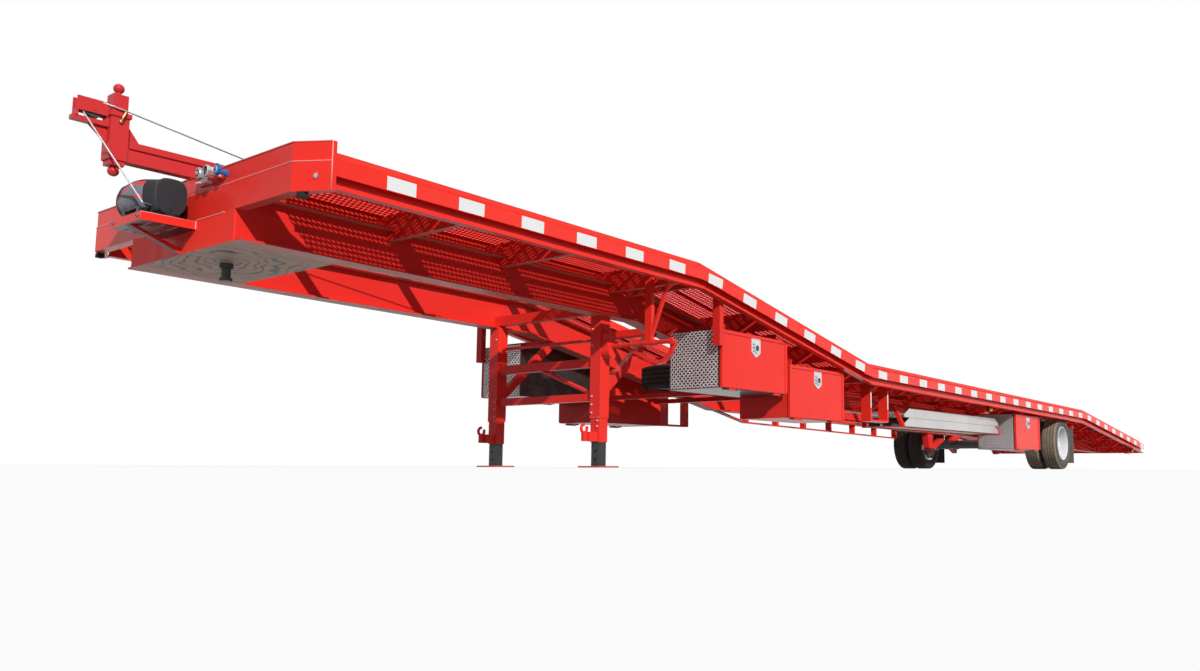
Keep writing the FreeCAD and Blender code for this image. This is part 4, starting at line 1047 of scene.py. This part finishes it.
addWinchCover()
addWinchRope()
print("winch cover and rope done")

couplings = {
    "near": (0.485, 1.530), "far": (0.285, 1.545), "socket": (0.380, 1.548),
    "face": 0.003, "contacts": 6, "contactCircle": 0.0125,
}


# Air coupling head: a fitting on the wall, a neck and a round face with its seal, dark in the middle.
def addGladhand(bm, y, z, out):
    x = atX(couplings["face"])
    addLathe(bm, [(pole, 0.0), (0.017, 0.0), (0.017, 0.014), (0.013, 0.017), (0.0125, 0.036),
                  (pole, 0.036)], 6, (x, y, z), "X")
    neck = [(x + 0.030, y, z), (x + 0.040, y, z + 0.002), (x + 0.048, y - 0.008, z + 0.008),
            (x + 0.050, y - 0.020, z + 0.014)]
    addTube(bm, neck, [0.0125, 0.0140, 0.0145, 0.0150], 12)
    cx, cy, cz = centre = (x + 0.046, y - 0.012, z + 0.012)
    addLathe(bm, [(pole, -0.011), (0.022, -0.011), (0.0255, -0.008), (0.0265, 0.004), (0.0245, 0.009),
                  (0.0195, 0.0115), (0.0190, 0.0075), (pole, 0.0075)], 28, centre, "X")
    addLathe(bm, [(0.0185, 0.0070), (0.0185, 0.0120), (0.0165, 0.0140), (0.0125, 0.0140), (0.0105, 0.0110),
                  (0.0100, 0.0070)], 28, centre, "X", 1, hollow=True)
    addLathe(bm, [(pole, 0.0078), (0.0090, 0.0078), (0.0095, 0.0070), (pole, 0.0070)], 20, centre, "X", 1)
    lip = [(-0.026, 0.012), (-0.012, 0.031), (0.014, 0.029), (0.027, 0.010), (0.020, 0.006), (0.010, 0.0255),
           (-0.010, 0.0255), (-0.021, 0.008)]
    for turn, reach in ((out, 1.0), (out + 180.0, 0.92)):
        c, s = cos(radians(turn)), sin(radians(turn))
        addPrism(bm, [(u * reach, v * reach) for u, v in lip],
                 lambda u, v, w: (cx - 0.004 + w, cy + u * c - v * s, cz + u * s + v * c), 0.0135)
    addBlock(bm, (x + 0.026, y - 0.046, z - 0.006), (x + 0.038, y - 0.010, z + 0.006), 0.002)


def addPowerSocket(bm, x, y, z):
    addLathe(bm, [(pole, 0.0), (0.0330, 0.0), (0.0330, 0.006), (0.0285, 0.008), (0.0285, 0.052),
                  (0.0325, 0.055), (0.0325, 0.067), (0.0300, 0.0695), (0.0265, 0.0695), (0.0255, 0.050),
                  (pole, 0.050)], 32, (x, y, z), "X")
    addLathe(bm, [(0.0250, 0.0505), (0.0250, 0.0600), (0.0225, 0.0620), (0.0200, 0.0600), (0.0200, 0.0505)],
             32, (x, y, z), "X", 1, hollow=True)
    addLathe(bm, [(pole, 0.0505), (0.0195, 0.0505), (0.0190, 0.0560), (pole, 0.0560)], 28, (x, y, z), "X", 1)
    r = couplings["contactCircle"]
    for u, v in [(r * cos(a), r * sin(a)) for a in anglesOf(couplings["contacts"])] + [(0.0, 0.0)]:
        addLathe(bm, [(pole, 0.0), (0.0022, 0.0), (0.0022, 0.0065), (pole, 0.0065)], 10,
                 (x + 0.056, y + u, z + v), "X")
    addBlock(bm, (x, y - 0.034, z - 0.034), (x + 0.004, y + 0.034, z + 0.026), 0.0012)
    for u in (-0.027, 0.027):
        addLathe(bm, [(pole, 0.0), (0.0052, 0.0), (0.0052, 0.004), (pole, 0.004)], 6,
                 (x + 0.004, y + u, z - 0.027), "X")


def addCouplings():
    x = atX(couplings["face"])
    far, near, socket, lever = (bmesh.new() for _ in range(4))
    y, z = couplings["far"]
    addGladhand(far, y, z, 20)
    addBlock(far, (x + 0.012, y - 0.040, z - 0.0155), (x + 0.054, y + 0.020, z - 0.0125), 0.001)
    addGladhand(near, *couplings["near"], -30)
    addPowerSocket(socket, x, *couplings["socket"])
    addBlock(lever, (x + 0.0005, 0.205, 1.501), (x + 0.009, 0.415, 1.524), 0.002, 1)
    lump = [(-0.036, 0.004), (-0.030, 0.014), (0.012, 0.016), (0.038, 0.010), (0.042, -0.006),
            (0.020, -0.015), (-0.020, -0.012)]
    addPrism(lever, lump, lambda u, v, w: (x + 0.010 + w, 0.318 + u, 1.512 + v), 0.032)
    addTube(lever, [(x + 0.024, 0.282, 1.512), (x + 0.040, 0.272, 1.509), (x + 0.052, 0.252, 1.5065)],
            [0.008, 0.0065, 0.005], 10)
    addTube(lever, [(x + 0.012, 0.402, 1.512), (x + 0.036, 0.402, 1.516), (x + 0.048, 0.392, 1.519)],
            [0.006, 0.0055, 0.0045], 10, 1)
    for name, bm, one, two in (("farCoupling", far, castMetal, sealRubber),
                               ("nearCoupling", near, bluePaint, castMetal),
                               ("powerSocket", socket, castMetal, sealRubber),
                               ("couplingLever", lever, castMetal, redPaint)):
        settle(fromBmesh(name, bm, one, two), "coupling_metal", *(["air_couplings"] if bm == far else []))


addCouplings()
print("couplings done")

trim = {
    "stepS": 5.865, "stepLong": 0.375, "stepZ": 0.445, "stepHigh": 0.307, "stepY": 1.200, "stepLeg": 0.022,
    "stripLong": 0.150, "rightShift": -0.225,
    "lampStations": (8.9, 15.56), "lampDown": 0.180, "lampY": 1.226, "lampRadius": 0.031,
    "legS": 2.800, "legY": 0.564, "legHalf": 0.050, "middleHalf": 0.044,
    "wallJoint": 1.474, "cornerY": 1.1175, "cornerS": 0.106,
    "weld": 0.0042, "wallEdge": 0.0034, "trayEdge": 0.0022,
    "traySide": 0.180, "trayTop": 1.318, "trayFloor": 1.273,
}


# Weld bead between two points, with the ripples of its passes.
def addWeld(bm, a, b, radius=trim["weld"], ripple=0.010):
    a, b = Vector(a), Vector(b)
    count = max(3, round((b - a).length / ripple * 2))
    addTube(bm, [a.lerp(b, i / count) for i in range(count + 1)],
            [radius * (1.0 if i % 2 else 0.80) for i in range(count + 1)], 6)


# Cap of a bolt on a face that looks forward.
def addBolt(bm, at, radius):
    addLathe(bm, [(pole, 0.010), (radius * 0.72, 0.010), (radius, 0.0075), (radius, 0.0015),
                  (radius * 1.35, 0.0012), (radius * 1.35, -0.001), (pole, -0.001)], 6, at, "X")


def addStepStrips():
    bm = bmesh.new()
    leg, y = trim["stepLeg"], trim["stepY"]
    low = trim["stepZ"] + trim["stepHigh"] * 0.42
    for sign, shift in ((1, 0.0), (-1, trim["rightShift"])):
        for s in (trim["stepS"] + shift, trim["stepS"] + trim["stepLong"] - leg + shift):
            addBlock(bm, (atX(s + leg - 0.001), sign * (y + 0.0002), low),
                     (atX(s + 0.001), sign * (y + 0.0010), low + trim["stripLong"]), 0.0002)
    settle(fromBmesh("stepStrips", bm, whiteTape), "white_paint")


# Lamps on their boxes: a domed lens in a dark ring, with a wire behind.
def addLamps():
    lens, ring, box = bmesh.new(), bmesh.new(), bmesh.new()
    r, y = trim["lampRadius"], trim["lampY"]
    dome = [(pole, 0.026), (r * 0.40, 0.0245), (r * 0.70, 0.0190), (r * 0.88, 0.0100), (r * 0.92, -0.024),
            (pole, -0.024)]
    edge = [(r * 0.93, -0.012), (r * 0.97, -0.0085), (r * 1.05, -0.008), (r * 1.12, -0.012),
            (r * 1.12, -0.022), (r * 0.93, -0.022)]
    wire = ((0.006, 1.150, 0.004), (0.012, 1.140, 0.030), (0.030, 1.150, 0.060), (0.060, 1.180, 0.075))
    for s in trim["lampStations"]:
        x, z = atX(s), deckHeight(s) - trim["lampDown"]
        for _, sign in bothSides:
            addLathe(lens, dome, 32, (x, sign * y, z), flip=sign)
            addLathe(ring, edge, 32, (x, sign * y, z), hollow=True, flip=sign)
            addBlock(box, (x - 0.036, sign * (y - 0.105), z - 0.050),
                     (x + 0.100, sign * (y - 0.026), z + 0.056), 0.003)
            addTube(ring, [(x + u, sign * v, z + w) for u, v, w in wire], 0.0035, 6)
    settle(fromBmesh("lampLenses", lens, amberLens, smooth=True), "amber_lens", "lamps")
    settle(fromBmesh("lampRings", ring, sealRubber, smooth=True), "tyre")
    settle(fromBmesh("lampBoxes", box, redPaint), "red_paint")


def addWeldsAndBolts():
    t = trim
    joint, side, floor = t["wallJoint"], t["traySide"], t["trayFloor"]
    face, inside = atX(t["legS"] - t["legHalf"]), atX(t["legS"] - t["middleHalf"])
    # rounded edges of the wall and the tray, in pale pink paint: painted highlight
    edges = ((t["wallEdge"], ((0.001, 0.0, 1.5732), (0.001, 1.1170, 1.5732), (0.1055, 1.2935, 1.5732))),
             (t["wallEdge"], ((0.1062, 1.2935, 1.326), (0.1062, 1.2935, 1.5725))),
             (t["trayEdge"], ((-0.2842, 0.1795, 1.275), (-0.2842, 0.1795, 1.3165),
                              (-0.003, 0.1795, 1.3165))))
    welds, bolts, bars = bmesh.new(), bmesh.new(), bmesh.new()
    for _, sign in bothSides:
        corner = (atX(0.0), sign * t["cornerY"], joint)
        addWeld(welds, (atX(0.0015), 0.0, joint), corner, 0.0035)
        addWeld(welds, corner, (atX(t["cornerS"]), sign * 1.2945, joint), 0.0035)
        addWeld(welds, (atX(0.0), sign * (side + 0.004), 1.3225), (atX(0.0), sign * 0.485, 1.3225))
        outer = sign * (side + 0.001)
        addWeld(welds, (atX(-0.002), outer, floor), (atX(-0.002), outer, t["trayTop"]))
        for s in (-0.215, -0.150, -0.085):
            addWeld(welds, (atX(s), sign * 0.040, floor - 0.0005),
                    (atX(s - 0.004), sign * 0.165, floor - 0.0005), 0.0026)
        for end in (-1, 1):
            y0, y1 = (sign * (t["legY"] + end * t["legHalf"] * share) for share in (0.96, 0.2))
            addWeld(welds, (face, y0, 0.3635), (face, y1, 0.3635), 0.003)
        for z in (0.300, 0.342):
            addBolt(welds, (inside, sign * (t["legY"] + 0.020), z), 0.007)
        for z in (0.40, 0.46, 0.52, 0.90, 1.02):
            addBolt(welds, (face, sign * (t["legY"] - 0.034), z), 0.007)
        for radius, path in edges:
            addTube(welds, [(atX(s), sign * y, z) for s, y, z in path], radius, 6)
        for y in (0.150, -0.150):
            addBolt(bolts, (atX(-0.2845), sign * y, 1.296), 0.008)
        # bars along the boom's upper tube, rubber blocks under the wall's corners
        addBlock(bars, (atX(0.292), sign * 0.0252, 1.6730), (atX(-0.300), sign * 0.0360, 1.7110), 0.0030)
        addBlock(bars, (atX(0.064), sign * 1.132, 1.2960), (atX(0.022), sign * 1.172, 1.3236), 0.0030, 1)
    addBolt(bolts, (atX(0.0653) + 0.002, 1.2266 + 0.002, 1.397), 0.012)
    settle(fromBmesh("weldBeads", welds, paleWeldHighlight, smooth=True), "red_paint")
    settle(fromBmesh("bolts", bolts, castMetal), "coupling_metal")
    settle(fromBmesh("boomBars", bars, redBoomPaintedShade, sealRubber), "red_paint")


hitch = {"pin": (-0.359, 0.0462, 1.800), "lugS": 1.815}


# Pin through the mast that holds the post, with a bent handle, and the hook's eye on the deck.
def addHitchPin():
    bm = bmesh.new()
    s, y, z = hitch["pin"]
    x = atX(s)
    addLathe(bm, [(pole, 0.016), (0.0075, 0.015), (0.0090, 0.011), (0.0090, -0.0002),
                  (pole, -0.0002)], 18, (x, y, z))
    addTube(bm, [(x, y + 0.010, z), (x, y + 0.020, z + 0.006), (x - 0.004, y + 0.024, z + 0.022),
                 (x - 0.016, y + 0.024, z + 0.050), (x - 0.020, y + 0.020, z + 0.062)], 0.0048, 8)
    settle(fromBmesh("hitchPin", bm, zincMetal, smooth=True), "coupling_metal")
    bm = bmesh.new()
    x, y = atX(hitch["lugS"]), winchGear["ropeEnd"][1]
    top = deckHeight(hitch["lugS"]) - trailer["plankSeat"]
    addPrism(bm, [(-0.045, 0.0), (0.045, 0.0), (0.020, 0.080), (-0.012, 0.080)],
             lambda u, v, w: (x + 0.010 + u, y - 0.004 + w, top - 0.001 + v), 0.008)
    ring = [(x + 0.018 + 0.026 * cos(a), y, top + 0.088 + 0.020 * sin(a)) for a in anglesOf(24, 26)]
    addTube(bm, ring, 0.0055, 8, capped=False)
    settle(fromBmesh("deckLug", bm, redPaint), "red_paint")


addStepStrips()
addLamps()
addWeldsAndBolts()
addHitchPin()
print("strips, lamps, welds and bolts done")

deckFrame = {
    "stations": (0.930, 1.790, 2.860, 3.050, 4.080, 4.990, 5.688, 6.330, 6.950, 7.850, 8.750, 9.660, 10.600,
                 11.400, 12.000, 12.640, 13.400, 14.400, 15.320),
    "beamY": 0.585, "beamWeb": 0.008, "beamFlange": 0.130, "beamFlangeThick": 0.010, "beamTop": 0.0776,
    "crossDepth": 0.060, "crossWidth": 0.050, "crossWall": 0.006,
    "plate": 0.008, "tip": 0.146, "foot": 0.045, "footThick": 0.006,
    "over": ((3.417, 1.045), (4.375, 0.860), (9.765, 0.695)), "overLong": 0.925,
    "rampSpan": (6.830, 9.570), "rampTop": 0.628,
    "tyreSpan": (11.255, 12.115), "tyreTip": 0.036, "tyreFoot": 0.060,
    "shift": 0.245, "room": 0.020,          # how far the right boxes reach ahead, and free room
    "lift": 0.060,          # a tip over a box is this much higher
    "besideFlange": 0.004, "underFlange": 0.006,
    "seat": (0.020, 0.027), "seatIn": 0.004, "seatShort": 0.006,
    "bead": 0.003, "ripple": 0.030,
}


# Top of the box or ramp that stands under the deck at s, or 0.
def standsUnder(s):
    f = deckFrame
    for start, top in f["over"]:
        if start - f["shift"] < s < start + f["overLong"] + f["room"]:
            return top
    return f["rampTop"] if f["rampSpan"][0] < s < f["rampSpan"][1] else 0.0


# Rolled channels across the beams, open to the rear, with seats for the planks.
def addCrossMembers():
    width, wall = deckFrame["crossWidth"], deckFrame["crossWall"]
    inner, reach = trailer["runwayInner"], trailer["runwayOuter"]
    start = inner + deckFrame["seatIn"]
    top = -trailer["plankSeat"] - fit
    low = top - deckFrame["crossDepth"]
    seatTop = trailer["plankRise"] - planks["web"] - fit
    channel = [(0, top), (width, top), (width, top - wall), (wall, top - wall), (wall, low + wall),
               (width, low + wall), (width, low), (0, low)]
    fore, aft = deckFrame["seat"]
    seat = [(fore, top - 0.002), (aft, top - 0.002), (aft, seatTop), (fore, seatTop)]
    bm = bmesh.new()
    for s in deckFrame["stations"]:
        addPrism(bm, channel, lambda u, v, w: (atX(s + u), w - reach, deckHeight(s + u) + v), 2 * reach)
        for _, sign in bothSides:
            addPrism(bm, seat, lambda u, v, w: (atX(s + u), sign * (start + w), deckHeight(s + u) + v),
                     reach - inner - deckFrame["seatShort"])
    settle(fromBmesh("crossChannels", bm, redFilm), "red_paint", "cross_members")


# Flanged brackets from the beams' webs to the side rails, in front of each cross member.
def addOutriggers():
    f = deckFrame
    plate, thick = f["plate"], f["footThick"]
    inner, outer = f["beamY"] + f["beamWeb"] / 2 + fit, trailer["railWeb"] - fit
    reach = f["beamY"] + f["beamFlange"] / 2 + f["besideFlange"]
    bm = bmesh.new()
    for s in f["stations"]:
        a = s - fit - plate
        high = deckHeight(a + plate) - trailer["plankSeat"] - fit
        under = deckHeight(a) - f["beamTop"] - f["beamFlangeThick"] - f["underFlange"]
        web = [(inner, under), (reach, under), (reach, high), (outer, high)]
        shelf = []
        if f["tyreSpan"][0] < a < f["tyreSpan"][1]:
            tip, foot = high - f["tyreTip"], under - f["tyreFoot"]
            web += [(outer, tip), (reach + f["tyreFoot"], tip), (inner, foot)]
        else:
            low = deckHeight(a) - f["tip"]
            if low - f["room"] <= standsUnder(a):
                low += f["lift"]
            foot = min(low, under - thick)
            web += [(outer, low), (inner, foot)]
            shelf = [(outer, low), (outer, low + thick), (inner, foot + thick), (inner, foot)]
        for _, sign in bothSides:
            addPrism(bm, web, lambda u, v, w: (atX(a) - w, sign * u, v), plate)
            if shelf:
                addPrism(bm, shelf, lambda u, v, w: (atX(a + plate) - w, sign * u, v), f["foot"] - plate)
                ends = [(atX(a + plate + 0.001), sign * u, v + 0.001) for u, v in shelf[1:3]]
                addWeld(bm, *ends, f["bead"], f["ripple"])
    settle(fromBmesh("outriggerPlates", bm, redFilm), "red_paint", "outriggers")


addCrossMembers()
addOutriggers()
print("deck frame done")
